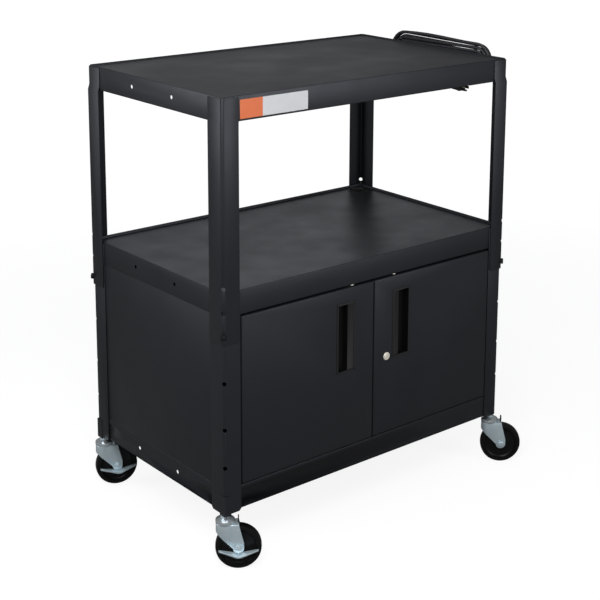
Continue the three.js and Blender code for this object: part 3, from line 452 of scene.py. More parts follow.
def node(finish, kind, settings=None, links=None):
    """Adds a shader node to a finish, sets its values and joins its inputs."""
    made = finish.node_tree.nodes.new("ShaderNode" + kind)
    for key, value in (settings or {}).items():
        if isinstance(key, str) and hasattr(made, key):
            setattr(made, key, value)
        else:
            made.inputs[key].default_value = value
    for key, socket in (links or {}).items():
        finish.node_tree.links.new(socket, made.inputs[key])
    return made


def add_noise(finish, place, size, detail):
    """A noise whose waves have a real size, so its scale is their number in a metre."""
    return node(finish, "TexNoise", {"Scale": 1 / (size * MM), "Detail": detail},
                {"Vector": place}).outputs["Fac"]


def add_grain(finish, shader, place, size, height, detail=2.0):
    """Bumps of a noise with grains of a real size and height."""
    height_map = add_noise(finish, place, size, detail)
    bump = node(finish, "Bump", {"Strength": 1.0, "Distance": height * MM}, {"Height": height_map})
    finish.node_tree.links.new(bump.outputs["Normal"], shader.inputs["Normal"])


def vary(finish, shader, place, socket, size, low, high):
    """Lets a socket drift between two values over patches of a real size."""
    patches = add_noise(finish, place, size, 3.0)
    if isinstance(low, str):
        spread = node(finish, "Mix", {"data_type": "RGBA"}, {0: patches})
        spread.inputs[6].default_value = hex_colour(low)
        spread.inputs[7].default_value = hex_colour(high)
        result = spread.outputs[2]
    else:
        result = node(finish, "MapRange", {
            "From Min": 0.3, "From Max": 0.7, "To Min": low, "To Max": high,
        }, {"Value": patches}).outputs["Result"]
    finish.node_tree.links.new(result, shader.inputs[socket])


def mix_finish(name, colour, roughness, metallic=0.0, *, grain, rough=None, tones=None, **sockets):
    """Mixes a finish. Its grain is a size and a height, and rough and tones are each a size of
    patches and the two values between which the roughness or the colour drifts."""
    finish = bare(bpy.data.materials.new(name))
    settings = {"Base Color": hex_colour(colour), "Roughness": roughness, "Metallic": metallic}
    shader = node(finish, "BsdfPrincipled", {**settings, **sockets})
    node(finish, "OutputMaterial", {}, {"Surface": shader.outputs["BSDF"]})
    place = node(finish, "TexCoord").outputs["Object"]
    add_grain(finish, shader, place, *grain)
    for socket, drift in (("Roughness", rough), ("Base Color", tones)):
        if drift:
            vary(finish, shader, place, socket, *drift)
    return finish


print("finish tools ready")

# %% [markdown]
# ### Black powder coat
# The steel is sprayed with polyester powder and baked to a satin skin with a faint orange peel, so
# broad reflections stay soft. The peel's waves are really under 2 mm. They are drawn at 3 mm so
# that they show.

# %% Powder coat
powder_coat = mix_finish(
    "black_powder_coat", "#1A1B1F", 0.42, grain=(3, 0.03), rough=(90, 0.38, 0.47),
    tones=(140, "#18191D", "#1D1E22"), IOR=1.49, **{"Specular Tint": (0.86, 0.9, 1, 1)},
)
print("powder coat mixed")

# %% [markdown]
# ### Rubber and plastic
# The top shelf's mat is rubber rolled with a fine pebble, so it is duller than the coat. The wheels
# are hard moulded rubber, a little glossier. The grommet, strain relief, outlets, plug and the
# doors' ledges are moulded plastic with a fine spark-eroded grain. The slots of the doors' pulls
# take a duller and blacker one, which is painted shade in the deep slots.

# %% Rubber and plastic finishes
mat_rubber = mix_finish(
    "pebbled_mat_rubber", "#2E2E30", 0.62, grain=(2.4, 0.25, 4.0), rough=(120, 0.55, 0.7),
    tones=(160, "#29292B", "#333335"), IOR=1.5,
)
wheel_rubber = mix_finish(
    "moulded_wheel_rubber", "#0C0C0D", 0.38, grain=(4, 0.05), rough=(25, 0.3, 0.48),
    tones=(30, "#09090A", "#101011"), IOR=1.32,
)
moulded_plastic = mix_finish(
    "moulded_black_plastic", "#1B1B1D", 0.48, grain=(1.6, 0.05), rough=(40, 0.42, 0.55), IOR=1.46,
)
# Near black and dull: painted shade for the deep slots of the door pulls.
pull_slot_painted_shade = mix_finish(
    "slot_painted_shade_plastic", "#070708", 0.6, grain=(1.6, 0.04), rough=(30, 0.54, 0.68), IOR=1.24,
)
cord_jacket = mix_finish(
    "vinyl_cord_jacket", "#28282C", 0.4, grain=(3, 0.04), rough=(30, 0.34, 0.5), IOR=1.52,
)
paint(power_cord, cord_jacket)
print("rubber and plastic mixed")

# %% [markdown]
# ### Bright metal
# The casters' forks are pressed steel with a bluish zinc plate, which is a little cloudy. The
# casters' cups are nickel under thin chrome. The lock and the doors' catches are satin nickel,
# drawn mostly as a near-white matt colour that is a painted highlight. The height bolts and the
# hinge pins are blackened with oxide. The plug's blades are nickelled brass, darkened as painted
# shade.

# %% Metal finishes
zinc_plate = mix_finish(
    "blue_zinc_plate", "#D4E4EC", 0.36, 0.55, grain=(2, 0.03), rough=(12, 0.3, 0.46),
    tones=(18, "#C6DAE5", "#E0EDF2"),
)
bright_chrome = mix_finish(
    "bright_chrome", "#DDE7EC", 0.18, 0.8, grain=(5, 0.01), rough=(10, 0.12, 0.24),
)
# Near white and only a quarter metallic: a painted highlight for the nickel's shine.
nickel_painted_highlight = mix_finish(
    "nickel_painted_highlight", "#FCF8EC", 0.34, 0.25, grain=(4, 0.01), rough=(10, 0.28, 0.42),
)
black_oxide = mix_finish(
    "black_oxide_steel", "#2B2C2F", 0.32, 0.8, grain=(1.5, 0.02), rough=(8, 0.25, 0.42),
)
# Much darker than bright brass: painted shade on the plug's blades and pin.
brass_painted_shade = mix_finish(
    "brass_painted_shade", "#45423C", 0.3, 1.0, grain=(2, 0.01), rough=(8, 0.18, 0.32),
)
print("metals mixed")

# %% [markdown]
# ### Printed film
# A film label is stuck on the front of the top shelf: an orange block beside a white one. It is
# left bare. Film is smooth and slightly glossy, with a trace of waviness from the adhesive.

# %% Film finishes
orange_film = mix_finish(
    "orange_film", "#E4723F", 0.35, grain=(12, 0.05), tones=(20, "#DF6B38", "#E87947"), IOR=1.48,
)
white_film = mix_finish(
    "white_film", "#DADCDF", 0.35, grain=(12, 0.05), tones=(20, "#D3D6DA", "#E0E2E4"), IOR=1.48,
)
print("films mixed")

# %% [markdown]
# ## The shelves
# A shelf is one sheet, folded down all round into a 52 mm fascia with a short return under it. Its
# upper edge is folded up into a hollow lip, which keeps things from sliding off. Only the outer
# skin is modelled and then thickened, so the folds come out right on both sides.

# %% Fold the shelves
WIDTH, DEPTH, SHELF_HEIGHT = 813, 508, 52.4
SHELF_SHEET, SHELF_CORNER, RETURN = 1.2, 6, 14
LIP_WIDTH, LIP_HEIGHT = 3, 6.35
HOLE_Y, HOLE_DROP, SHELF_HOLE = 76.2, 25.4, 8.5
SHELF_TOPS = {"top": 1009, "middle": 607, "bottom": 179.5}


def fold_shelf(name, top):
    bottom = top - SHELF_HEIGHT
    shelf = rounded_slab(name, (-WIDTH / 2, -DEPTH / 2, bottom), (WIDTH / 2, DEPTH / 2, top),
                         "Z", SHELF_CORNER, 5)
    pick(shelf, "FACE", lambda at, way: way.z > 0.9)
    inset(LIP_WIDTH)
    push(0, 0, -LIP_HEIGHT)
    pick(shelf, "FACE", lambda at, way: way.z < -0.9 and at.z < bottom + 1)
    inset(RETURN)
    bpy.ops.mesh.delete(type="FACE")
    round_folds(1.3)
    fold_sheet(shelf, SHELF_SHEET)
    hole_z = top - HOLE_DROP
    cut(shelf, *(
        bar("drill", (side * (WIDTH / 2 + 3), end * HOLE_Y, hole_z),
            (side * (WIDTH / 2 - 4), end * HOLE_Y, hole_z), SHELF_HOLE)
        for side in (-1, 1) for end in (-1, 1)
    ))
    return shelf


shelves = {level: fold_shelf(f"{level}_shelf", top) for level, top in SHELF_TOPS.items()}
print("shelves:", {level: len(shelf.data.polygons) for level, shelf in shelves.items()}, "faces")

# %% Cut the places that other pieces pass through, and coat the shelves
HINGE_X, HINGE_Y, HINGE_HOLE = 348.4, -248.5, 4.6
GROMMET, GROMMET_HOLE = (366, 220), 46.6
cut(shelves["middle"], bar("punch", (*GROMMET, 590), (*GROMMET, 610), GROMMET_HOLE, 40))
cut(shelves["middle"], *(
    bar("drill", (side * HINGE_X, HINGE_Y, 550), (side * HINGE_X, HINGE_Y, 560), HINGE_HOLE)
    for side in (-1, 1)
))
cut(shelves["bottom"], *(
    slab("notch", (side * 393.2, end * 237.2, 120), (side * 409, end * 257, 165.3))
    for side in (-1, 1) for end in (-1, 1)
))
for level, shelf in shelves.items():
    body = "upper" if level == "top" else "base"
    dress(shelf, (0,), powder_coat, body, "black_powder_coat", f"{level}_pan")
print("shelves coated")

# %% [markdown]
# ### The mat and the label
# The mat is a rubber sheet cut to the top shelf's tray, and its edges are slightly rounded. The
# label is a film on the fascia, in two colours, which a cut across the face separates.

# %% Lay the mat and stick the label
mat = rounded_slab("top_mat_sheet", (-402.9, -250.4, 1002.65), (402.9, 250.4, 1004.85), "Z", 4, 5)
dress(mat, (0.7, 3), mat_rubber, "upper", "mat_rubber", "top_mat")

LABEL_LEFT, LABEL_SPLIT, LABEL_RIGHT = -362.4, -306, -189.5
label = rounded_slab("film_label", (LABEL_LEFT, -254.3, 961), (LABEL_RIGHT, -254, 1000), "Y", 1.2, 3)
pick_all()
slice_across("X", LABEL_SPLIT)
hold(label)
paint(label, orange_film, white_film, second=lambda at: at.x > LABEL_SPLIT)
fit(label, "upper", "label_film", "front_label")
print("mat and label on")

# %% [markdown]
# ### The grommet
# A moulded ring snaps into the hole at the back of the middle shelf, so that leads don't chafe on
# the sheet. It is a turned shape: a domed flange over the shelf and a neck with a small barb.

# %% Turn the grommet
SEAT = SHELF_TOPS["middle"] - LIP_HEIGHT
grommet = turned("lead_grommet", [
    (20.5, -9), (22, -9), (23, -8), (23, -2.2), (22.6, -1.6), (22.6, 0), (26, 0), (26, 0.6),
    (25.4, 1.4), (24.2, 1.9), (22.5, 2), (21.2, 1.8), (20.5, 1.1),
], (*GROMMET, SEAT), "Z", 56)
dress(grommet, (0.15, 2, 50), moulded_plastic, "base", "black_plastic", "cable_grommet")
print("grommet:", len(grommet.data.polygons), "faces")

# %% [markdown]
# ## The legs
# A leg is an angle: a strip folded round a generous corner. The upper legs are joggled: a press
# steps them outwards below the top shelf, so that they slide over the lower ones. Extruding the
# angle's section level by level makes the step. The corner holes are drilled on the diagonal.

# %% Fold the legs
CORNERS = {"front_left": (-1, -1), "front_right": (1, -1), "rear_left": (-1, 1), "rear_right": (1, 1)}
LEG_SHEET, LEG_CORNER, CORNER_STEPS = 1.9, 7, 6
FLANGE_X, FLANGE_Y = 42, 48
LOWER_X, LOWER_Y = 408.4, 255.9
LOWER_FOOT, LOWER_TOP, SOCKET_TOP, LOWEST_HOLE = 123, 604, 165, 228
UPPER_FOOT, UPPER_TOP = 498, 954
JOGGLE, JOGGLE_RISE, FOOT_CLIP, CORNER_HOLE = 2.4, 12, 5, 9
SOCKET_X, SOCKET_Y = 400, 244
LEG_EDGES = (0.3, 2, 40)
BOLT_HEIGHT, HOLE_PITCH = 515.5, 50.8


def angle_section(side, end, outer_x, outer_y):
    """The section of a leg whose outer faces are at outer_x and outer_y."""
    x, y = outer_x - LEG_CORNER, outer_y - LEG_CORNER
    section = [(outer_x, outer_y - FLANGE_Y), *arc(x, y, LEG_CORNER, 90, CORNER_STEPS),
               (outer_x - FLANGE_X, outer_y), (outer_x - FLANGE_X, outer_y - LEG_SHEET),
               *reversed(arc(x, y, LEG_CORNER - LEG_SHEET, 90, CORNER_STEPS)),
               (outer_x - LEG_SHEET, outer_y - FLANGE_Y)]
    return [(side * a, end * b) for a, b in section]


def corner_centre(side, end, outer_x, outer_y, height):
    """The middle of a leg's corner at a height, and the way that the corner faces."""
    centre = Vector((side * (outer_x - LEG_CORNER), end * (outer_y - LEG_CORNER), height))
    return centre, Vector((side, end, 0)).normalized()


def drill_corner(leg, place, heights):
    """Drills holes through the corner of a leg, on its diagonal."""
    for height in heights:
        centre, diagonal = corner_centre(*place, height)
        cut(leg, bar("drill", centre + diagonal * 2, centre + diagonal * 12, CORNER_HOLE))


def clip_foot(leg, side, end, outer_x, outer_y, foot):
    """Clips the lower corner of both flanges."""
    work(leg)
    flange_x, flange_y = side * (outer_x - FLANGE_X), end * (outer_y - FLANGE_Y)
    pick(leg, "EDGE", lambda at, way: abs(at.z - foot) < 0.1 and (
        abs(at.x - flange_x) < 0.1 or abs(at.y - flange_y) < 0.1))
    round_off(FOOT_CLIP, 1)


for corner, (side, end) in CORNERS.items():
    place = (side, end, LOWER_X, LOWER_Y)
    lower = outline_sheet(f"{corner}_lower_leg_angle", angle_section(*place), (LOWER_FOOT, LOWER_TOP))
    clip_foot(lower, *place, LOWER_FOOT)
    drill_corner(lower, place, (
        BOLT_HEIGHT, BOLT_HEIGHT - 2 * HOLE_PITCH, BOLT_HEIGHT - 4 * HOLE_PITCH, LOWEST_HOLE))
    x, y = side * SOCKET_X, end * SOCKET_Y
    socket = bar("socket", (x, y, LOWER_FOOT), (x, y, SOCKET_TOP), 13, 32)
    webs = [
        slab("web", (x, end * 241, LOWER_FOOT), (side * 407, end * 247, SOCKET_TOP)),
        slab("web", (side * 397, y, LOWER_FOOT), (side * 403, end * 254.5, SOCKET_TOP)),
    ]
    join(lower, socket, *webs)
    dress(lower, LEG_EDGES, powder_coat, "base", "black_powder_coat", f"lower_leg_{corner}")

    place = (side, end, LOWER_X + JOGGLE, LOWER_Y + JOGGLE)
    upper = outline_sheet(f"{corner}_upper_leg_angle", angle_section(*place), (UPPER_FOOT, UPPER_TOP))
    work(upper)
    pick(upper, "FACE", lambda at, way: way.z > 0.9)
    push(-side * JOGGLE, -end * JOGGLE, JOGGLE_RISE)
    push(0, 0, 40)
    clip_foot(upper, *place, UPPER_FOOT)
    drill_corner(upper, place, [BOLT_HEIGHT + step * HOLE_PITCH for step in range(3)])
    dress(upper, LEG_EDGES, powder_coat, "upper", "black_powder_coat", f"upper_leg_{corner}")
print("legs folded:", 2 * len(CORNERS))

# %% [markdown]
# ### The height bolts
# Black hexagon bolts through the corner holes lock the two halves of each leg. A real head has a
# chamfered top and a washer face under it, so the hexagon is inset and pushed to make them.

# %% Make the height bolts
def hexagon_head(name, seat, facing, across, height):
    """A hexagon head with its chamfer, standing on seat and facing outwards."""
    seat, facing = Vector(seat), Vector(facing).normalized()
    head = bar(name, seat, seat + facing * height, across, 6)
    work(head)
    pick(head, "FACE", lambda at, way: way.dot(facing) > 0.9)
    inset(0.09 * across)
    push(*(facing * height * 0.12))
    return head


for corner, (side, end) in CORNERS.items():
    centre, diagonal = corner_centre(side, end, LOWER_X + JOGGLE, LOWER_Y + JOGGLE, BOLT_HEIGHT)
    seat = centre + diagonal * (LEG_CORNER + 0.3)
    bolt = hexagon_head(f"{corner}_leg_bolt", seat + diagonal * 0.8, diagonal, 14, 3.7)
    washer = bar("washer", seat, seat + diagonal * 0.9, 13.6, 32)
    shank = bar("shank", seat - diagonal * 2.4, seat + diagonal * 0.5, 8)
    join(bolt, washer, shank)
    dress(bolt, (0.25, 2), black_oxide, "upper", "black_oxide", f"height_bolt_{corner}")
print("bolts made:", len(CORNERS))

# %% [markdown]
# ## The cabinet
# Thin sheets close the sides and the back between the lower shelves. A bare sheet would rattle, so
# its long edges have a small hem: a strip folded flat on the inside. The hem is a second, narrower
# sheet that lies on the first. Each sheet's ends reach half a millimetre into the shelves' rounded
# folds, so that no light shows there.

# %% Hang the cabinet's sheets
PANEL_BOTTOM, PANEL_TOP, HEM = 179.3, 554.8, 10
SIDE_OUTER, SIDE_INNER, SIDE_FRONT, SIDE_BACK = 406.5, 405.35, -232, 248
REAR_OUTER, REAR_INNER, REAR_EDGE = 254, 252.85, 386.5
HEM_SHEET = 0.9


def hem(piece, *strips):
    """Lays hems on a sheet and joins them to it."""
    join(piece, *(slab("hem", low, high) for low, high in strips))
    ease_edges(piece, 0.25, 2)
    paint(piece, powder_coat)


for name, side in SIDES.items():
    outer, inner = side * SIDE_OUTER, side * SIDE_INNER
    panel = slab(f"{name}_side_sheet", (outer, SIDE_FRONT, PANEL_BOTTOM), (inner, SIDE_BACK, PANEL_TOP))
    hem(panel, *(((inner, y, PANEL_BOTTOM), (inner - side * HEM_SHEET, y + HEM, PANEL_TOP))
                 for y in (SIDE_FRONT, SIDE_BACK - HEM)))
    fit(panel, "base", "black_powder_coat", f"side_panel_{name}")

panel = slab("rear_sheet", (-REAR_EDGE, REAR_OUTER, PANEL_BOTTOM), (REAR_EDGE, REAR_INNER, PANEL_TOP))
hem(panel, *(((x, REAR_INNER, PANEL_BOTTOM), (x + HEM, REAR_INNER - HEM_SHEET, PANEL_TOP))
             for x in (-REAR_EDGE, REAR_EDGE - HEM)))
fit(panel, "base", "black_powder_coat", "rear_panel")
print("cabinet closed")

# %% [markdown]
# ### The doors
# Each door is a shallow tray: a sheet with all four edges folded back by 17 mm, open behind. As
# with the shelves, the outer skin is shaped first and thickened inwards. Then the openings for the
# pull, the hinge pins and the lock are punched.

# %% Fold the doors
DOOR_FRONT, DOOR_BACK = -257, -240
DOOR_BOTTOM, DOOR_TOP = 182.5, 550.6
DOOR_INNER, DOOR_OUTER = 1.5, 363.4
DOOR_SHEET = 1
PULL_NEAR, PULL_FAR, PULL_BOTTOM, PULL_TOP, PULL_RIM = 56, 108, 358, 518, 1.7
LOCK_X, LOCK_Z, LOCK_HOLE = 38.8, 365.6, 15.6


def fold_door(name, side):
    low = (side * DOOR_INNER, DOOR_FRONT, DOOR_BOTTOM)
    door = slab(name, low, (side * DOOR_OUTER, DOOR_BACK, DOOR_TOP))
    work(door)
    pick(door, "FACE", lambda at, way: way.y > 0.9)
    bpy.ops.mesh.delete(type="FACE")
    round_folds(1.9)
    fold_sheet(door, DOOR_SHEET)
    cut(door, slab("punch", (side * (PULL_NEAR + PULL_RIM), -260, PULL_BOTTOM + PULL_RIM),
                   (side * (PULL_FAR - PULL_RIM), -250, PULL_TOP - PULL_RIM)))
    cut(door, bar("drill", (side * HINGE_X, HINGE_Y, 170), (side * HINGE_X, HINGE_Y, 560), HINGE_HOLE))
    return door


doors = {name: fold_door(f"{name}_cabinet_door", side) for name, side in SIDES.items()}
cut(doors["right"], bar("punch", (LOCK_X, -262, LOCK_Z), (LOCK_X, -250, LOCK_Z), LOCK_HOLE, 40))
for name, door in doors.items():
    dress(door, (0,), powder_coat, f"door_{name}", "black_powder_coat", f"door_{name}")
print("doors:", {name: len(door.data.polygons) for name, door in doors.items()}, "faces")

# %% [markdown]
# ### The door pulls
# A pull is a moulded cup snapped into the door: a rim on the face, a sloping ledge that leads the
# fingers in, and a deep slot behind it. The rim's face is inset and pushed in a little, then cut in
# two, so that one half can sink to the slot's floor. The other half's edge is pulled down as the
# ledge. Rim and ledge take the plain plastic, and the slot a near-black one as painted shade.

# %% Mould the door pulls
PULL_STEP, LEDGE_DEPTH, SLOT_DEPTH, CUP_DEPTH = 76, 3, 15, 15.5
PULL_FRONT = DOOR_FRONT - 1
RIM_SINK = 0.5


def sunk(at):
    """Whether a place is level with the face inside the rim."""
    return abs(at.y - PULL_FRONT - RIM_SINK) < 0.1


def mould_pull(name, side):
    low = (side * PULL_NEAR, PULL_FRONT, PULL_BOTTOM)
    pull = rounded_slab(name, low, (side * PULL_FAR, DOOR_FRONT, PULL_TOP), "Y", 2, 4)
    pick(pull, "FACE", lambda at, way: way.y > 0.9)
    inset(2)
    push(0, CUP_DEPTH, 0)
    pick(pull, "FACE", lambda at, way: way.y < -0.9)
    inset(4)
    push(0, RIM_SINK, 0)
    pick(pull, "FACE", lambda at, way: way.y < -0.9 and sunk(at))
    slice_across("X", side * PULL_STEP)
    pick(pull, "FACE", lambda at, way: way.y < -0.9 and sunk(at) and abs(at.x) > PULL_STEP)
    push(0, SLOT_DEPTH - RIM_SINK, 0)
    pick(pull, "VERT", lambda at, way: abs(abs(at.x) - PULL_STEP) < 0.01 and sunk(at))
    move(0, LEDGE_DEPTH - RIM_SINK, 0)
    face_out()
    ease_edges(pull, 0.4, 3)
    # The slot's faces take the near-black plastic as painted shade; rim and ledge take the plain one.
    paint(pull, pull_slot_painted_shade, moulded_plastic,
          second=lambda at: at.y < PULL_FRONT + 0.45 or abs(at.x) < PULL_STEP - 0.1)
    return pull


for name, side in SIDES.items():
    fit(mould_pull(f"{name}_finger_pull", side), f"door_{name}", "black_plastic", f"door_pull_{name}")
print("pulls moulded")

# %% [markdown]
# ### Hinge pins and catches
# The doors turn on pins near their outer edges: a headed pin drops through the middle shelf's
# return, and a collared pin stands on the bottom shelf. Over the doors, two bent spring strips hold
# them shut. Their near-white colour is a painted highlight, which shows as two glints in the gap.

# %% Turn the hinge pins and bend the catches
PIN_PROFILES = {
    "top": [(0, 540.6), (1.5, 540.6), (2, 541.4), (2, 555.8), (3.5, 555.8), (3.5, 557.5),
            (2.7, 558.3), (0, 558.3)],
    "bottom": [(0, 173.15), (2, 173.15), (2, 179.8), (4.2, 179.8), (4.5, 180.1), (4.5, 181.9),
               (4.2, 182.2), (2, 182.2), (2, 191.7), (1.5, 192.5), (0, 192.5)],
}
CATCH_X, CATCH_HALF, CATCH_FRONT, CATCH_BEND, CATCH_BACK = 62, 7, -255, -239.4, -238.2
CATCH_BOTTOM, CATCH_TOP, CATCH_DROP = 553, 554.6, 14.8

for name, side in SIDES.items():
    for end, profile in PIN_PROFILES.items():
        pin = turned(f"{name}_{end}_hinge_pin", profile, (side * HINGE_X, HINGE_Y, 0), "Z", 28)
        dress(pin, (0, 2, 40), black_oxide, "base", "black_oxide", f"hinge_pin_{end}_{name}")

    middle = side * CATCH_X
    catch = slab(f"{name}_spring_catch", (middle - CATCH_HALF, CATCH_FRONT, CATCH_BOTTOM),
                 (middle + CATCH_HALF, CATCH_BACK, CATCH_TOP))
    work(catch)
    pick_all()
    slice_across("Y", CATCH_BEND)
    pick(catch, "FACE", lambda at, way: way.z < -0.9 and at.y > CATCH_BEND)
    push(0, 0, -CATCH_DROP)
    pick(catch, "VERT", lambda at, way: at.y < CATCH_FRONT + 1)
    bpy.ops.transform.resize(value=(0.35, 1, 1), center_override=(middle * MM, 0, 0))
    # The catch's near-white nickel is a painted highlight.
    dress(catch, (0.3, 3), nickel_painted_highlight, "base", "zinc_plate", f"door_catch_{name}")
print("pins and catches in place")

# %% [markdown]
# ### The lock
# A cam lock is a housing with a domed bezel, a plug with a keyway, and a cam on the plug's tail.
# Housing and plug are turned about the lock's own axis, the keyway is milled, and the cam is cut
# from strip.

# %% Turn the lock
lock_seat = (LOCK_X, DOOR_FRONT, LOCK_Z)
housing = turned("cam_lock_housing", [
    (5.8, -2.3), (6.4, -2.5), (7.8, -2.5), (8.8, -1.9), (9.25, -1), (9.25, 0), (7.5, 0), (7.5, 16.7),
    (5.8, 16.7)], lock_seat, "Y", 56)
# The housing's near-white nickel is a painted highlight.
dress(housing, (0.12, 2, 40), nickel_painted_highlight, "door_right", "chrome_plate", "lock_housing")

plug = turned("cam_lock_plug", [
    (0, -3.3), (4.8, -3.3), (5.5, -2.7), (5.5, 17), (3, 17), (3, 20.1), (2.6, 20.5), (0, 20.5)],
    lock_seat, "Y", 48)
for half_width, low, high in ((0.8, -3.5, 3.5), (1.7, 1.2, 3)):
    cut(plug, slab("keyway", (LOCK_X - half_width, -262, LOCK_Z + low),
                   (LOCK_X + half_width, -254.3, LOCK_Z + high)))
# The plug's near-white nickel is a painted highlight.
dress(plug, (0.1, 1, 40), nickel_painted_highlight, "lock", "chrome_plate", "lock_plug")

CAM_RADIUS, CAM_FRONT, CAM_BACK = 7, -239.7, -237.7
tip = [(-7, -44), (-5, -46), (5, -46), (7, -44)]
cam = outline_sheet("lock_cam_arm", [
    *arc(LOCK_X, LOCK_Z, CAM_RADIUS, 180, 12),
    *((LOCK_X + x, LOCK_Z + z) for x, z in tip),
], (CAM_FRONT, CAM_BACK), "Y")
cut(cam, bar("drill", (LOCK_X, -242, LOCK_Z), (LOCK_X, -236, LOCK_Z), 6.6, 32))
dress(cam, (0.25, 2), zinc_plate, "lock", "zinc_plate", "lock_cam")
print("lock fitted")

# %% [markdown]
# ## The casters
# All four casters are alike apart from the brakes, so each part is modelled once with its swivel
# axis on Z and its wheel trailing along +X. Copies, each with its own mesh, are then turned the way
# their caster stands and moved to their corner.

# %% Places of the casters
TRAIL_ANGLES = {"front_left": -36, "front_right": -41, "rear_left": -20, "rear_right": -30}
BRAKED = ("front_left", "rear_left")
WHEEL_RADIUS, TRAIL = 49, 27.5
FORK_TOP, FORK_INNER, FORK_SHEET = 103, 27, 2.5
AXLE_HOLE, CHEEK_FACE = 8.6, 16.3


def on_axle(y):
    return TRAIL, y, WHEEL_RADIUS


def place_copies(model, body, slot, node_name, corners=tuple(CORNERS)):
    """Puts a copy of a caster part on each of some corners and takes the model away."""
    for corner in corners:
        side, end = CORNERS[corner]
        copy = model.copy()
        copy.data = model.data.copy()
        copy.name = copy.data.name = f"{corner}_{model.name}"
        scene.collection.objects.link(copy)
        turn = Matrix.Rotation(radians(TRAIL_ANGLES[corner]), 4, "Z")
        corner_place = Vector((side * SOCKET_X, end * SOCKET_Y, 0)) * MM
        copy.data.transform(Matrix.Translation(corner_place) @ turn)
        fit(copy, body.format(corner), slot, f"{node_name}_{corner}")
    bpy.data.objects.remove(model)


print("caster corners:", ", ".join(CORNERS))

# %% [markdown]
# ### Stem and raceway cup
# The stem screws into the leg's socket. Under it, a plated cup holds the swivel's balls, and a
# rivet closes it below the fork. All of it is turned, so one profile makes it. The cup is polished,
# and the collar above it is plain zinc.

# %% Turn the stem and cup
stem = turned("stem_and_cup", [
    (0, 96.8), (4.6, 97), (6.4, 98.2), (7, 99), (7, 100.2), (5.2, 100.2), (5.2, 103.3), (19.2, 103.3),
    (20.2, 103.7), (20.5, 104.5), (20.5, 109.2), (20.2, 110.2), (19.2, 110.9), (14, 114), (10.2, 115.4),
    (9, 116.4), (9, 122.7), (4.75, 122.7), (4.75, 158), (3.8, 159), (0, 159),
], (0, 0, 0), "Z", 56)
ease_edges(stem, 0, smooth=32)
paint(stem, bright_chrome, zinc_plate, second=lambda at: at.z > 115)
place_copies(stem, "base", "chrome_plate", "caster_stem")
print("stems turned")

# %% [markdown]
# ### The fork
# The fork is one pressing: a crown with a wrapped, rounded nose and two cheeks that taper to the
# axle. It starts as a block with its nose rounded, loses its lower and rear faces, gets the sheet's
# thickness, and is cut to its side outline. A small tab stands up behind the crown, coloured dark grey.

# %% Press the fork
FORK_NOSE, EYE_RADIUS = 15.9, 11.5
FORK_FRONT, FORK_LOW = -20, 36
TAB_FRONT, TAB_BACK, TAB_TOP = 26.5, 29, 117
fork_outer = FORK_INNER / 2 + FORK_SHEET
fork = slab("pressed_fork", (FORK_FRONT, -fork_outer, FORK_LOW), (TRAIL + 14, fork_outer, FORK_TOP))
work(fork)
pick(fork, "EDGE", lambda at, way: abs(way.z) > 0.9 and at.x < FORK_FRONT + 1)
round_off(FORK_NOSE, 10)
pick(fork, "FACE", lambda at, way: way.z < -0.9 or way.x > 0.95)
bpy.ops.mesh.delete(type="FACE")
round_folds(2.6, 4)
fold_sheet(fork, FORK_SHEET)
eye = arc(TRAIL, WHEEL_RADIUS, EYE_RADIUS, -180, 14)
side_outline = [(-24, 88), (-24, 110), (29, 110), (29, 101), (TRAIL + EYE_RADIUS, 60.5), *eye]
silhouette = outline_sheet("fork_outline", side_outline[::-1], (-20, 20), "Y")
cut(fork, silhouette, operation="INTERSECT")
cut(fork, bar("drill", (0, 0, 90), (0, 0, 110), 11, 40))
cut(fork, bar("drill", on_axle(-20), on_axle(20), AXLE_HOLE, 32))
tab = slab("tab", (TAB_FRONT, -5.5, FORK_TOP - 2.5), (TAB_BACK, 5.5, TAB_TOP))
work(tab)
pick(tab, "EDGE", lambda at, way: abs(way.x) > 0.9 and at.z > TAB_TOP - 7)
round_off(2.5, 4)
join(fork, tab)
ease_edges(fork, 0.35, 2, 40)
# The tab's upper faces take the dark oxide colour.
paint(fork, zinc_plate, black_oxide,
      second=lambda at: at.x > TAB_FRONT - 0.5 and at.z > FORK_TOP + 0.2)
place_copies(fork, "swivel_{}", "zinc_plate", "caster_fork")
print("forks pressed")

# %% [markdown]
# ### Wheel, axle and brake
# The wheel is moulded on a thin web with a hub and rounded tread. Its axle is a bolt with a nut. A
# brake lever is a strip bent to a shallow V on the bolt, outside the fork. It widens to a blunt
# point in the middle, and a foot rocks it.

# %% Mould the wheels
half = [
    (4.3, 13.2), (11.5, 13.2), (12.6, 12.6), (13.4, 10), (15.5, 7), (18, 6.2), (33, 6.2), (36, 7),
    (38, 9.6), (38.9, 11.2), (40.5, 11.5), (44.5, 11.3), (47.4, 10), (48.6, 7.2), (WHEEL_RADIUS, 3.5),
]
wheel = turned("moulded_wheel", half + [(r, -y) for r, y in reversed(half)], on_axle(0), "Y", 72)
ease_edges(wheel, 0, smooth=38)
paint(wheel, wheel_rubber)
place_copies(wheel, "wheel_{}", "wheel_rubber", "caster_wheel")
print("wheels moulded")

# %% Make the axles
def make_axle(name, head_seat):
    """An axle bolt: its head on the -Y side at head_seat, its nut against the other cheek."""
    head = hexagon_head(name, on_axle(head_seat), (0, -1, 0), 15, 3.6)
    nut = hexagon_head("nut", on_axle(CHEEK_FACE), (0, 1, 0), 15, 3.6)
    shank = bar("shank", on_axle(head_seat - 0.5), on_axle(19.6), 8, 32)
    tip = bar("tip", on_axle(CHEEK_FACE), on_axle(20.6), 7, 32)
    join(head, nut, shank, tip)
    ease_edges(head, 0.3, 2)
    paint(head, zinc_plate)
    return head


plain = tuple(corner for corner in CORNERS if corner not in BRAKED)
for head_seat, corners in ((-19.1, BRAKED), (-CHEEK_FACE, plain)):
    place_copies(make_axle("axle_bolt", head_seat), "swivel_{}", "zinc_plate", "caster_axle", corners)
print("axles made")

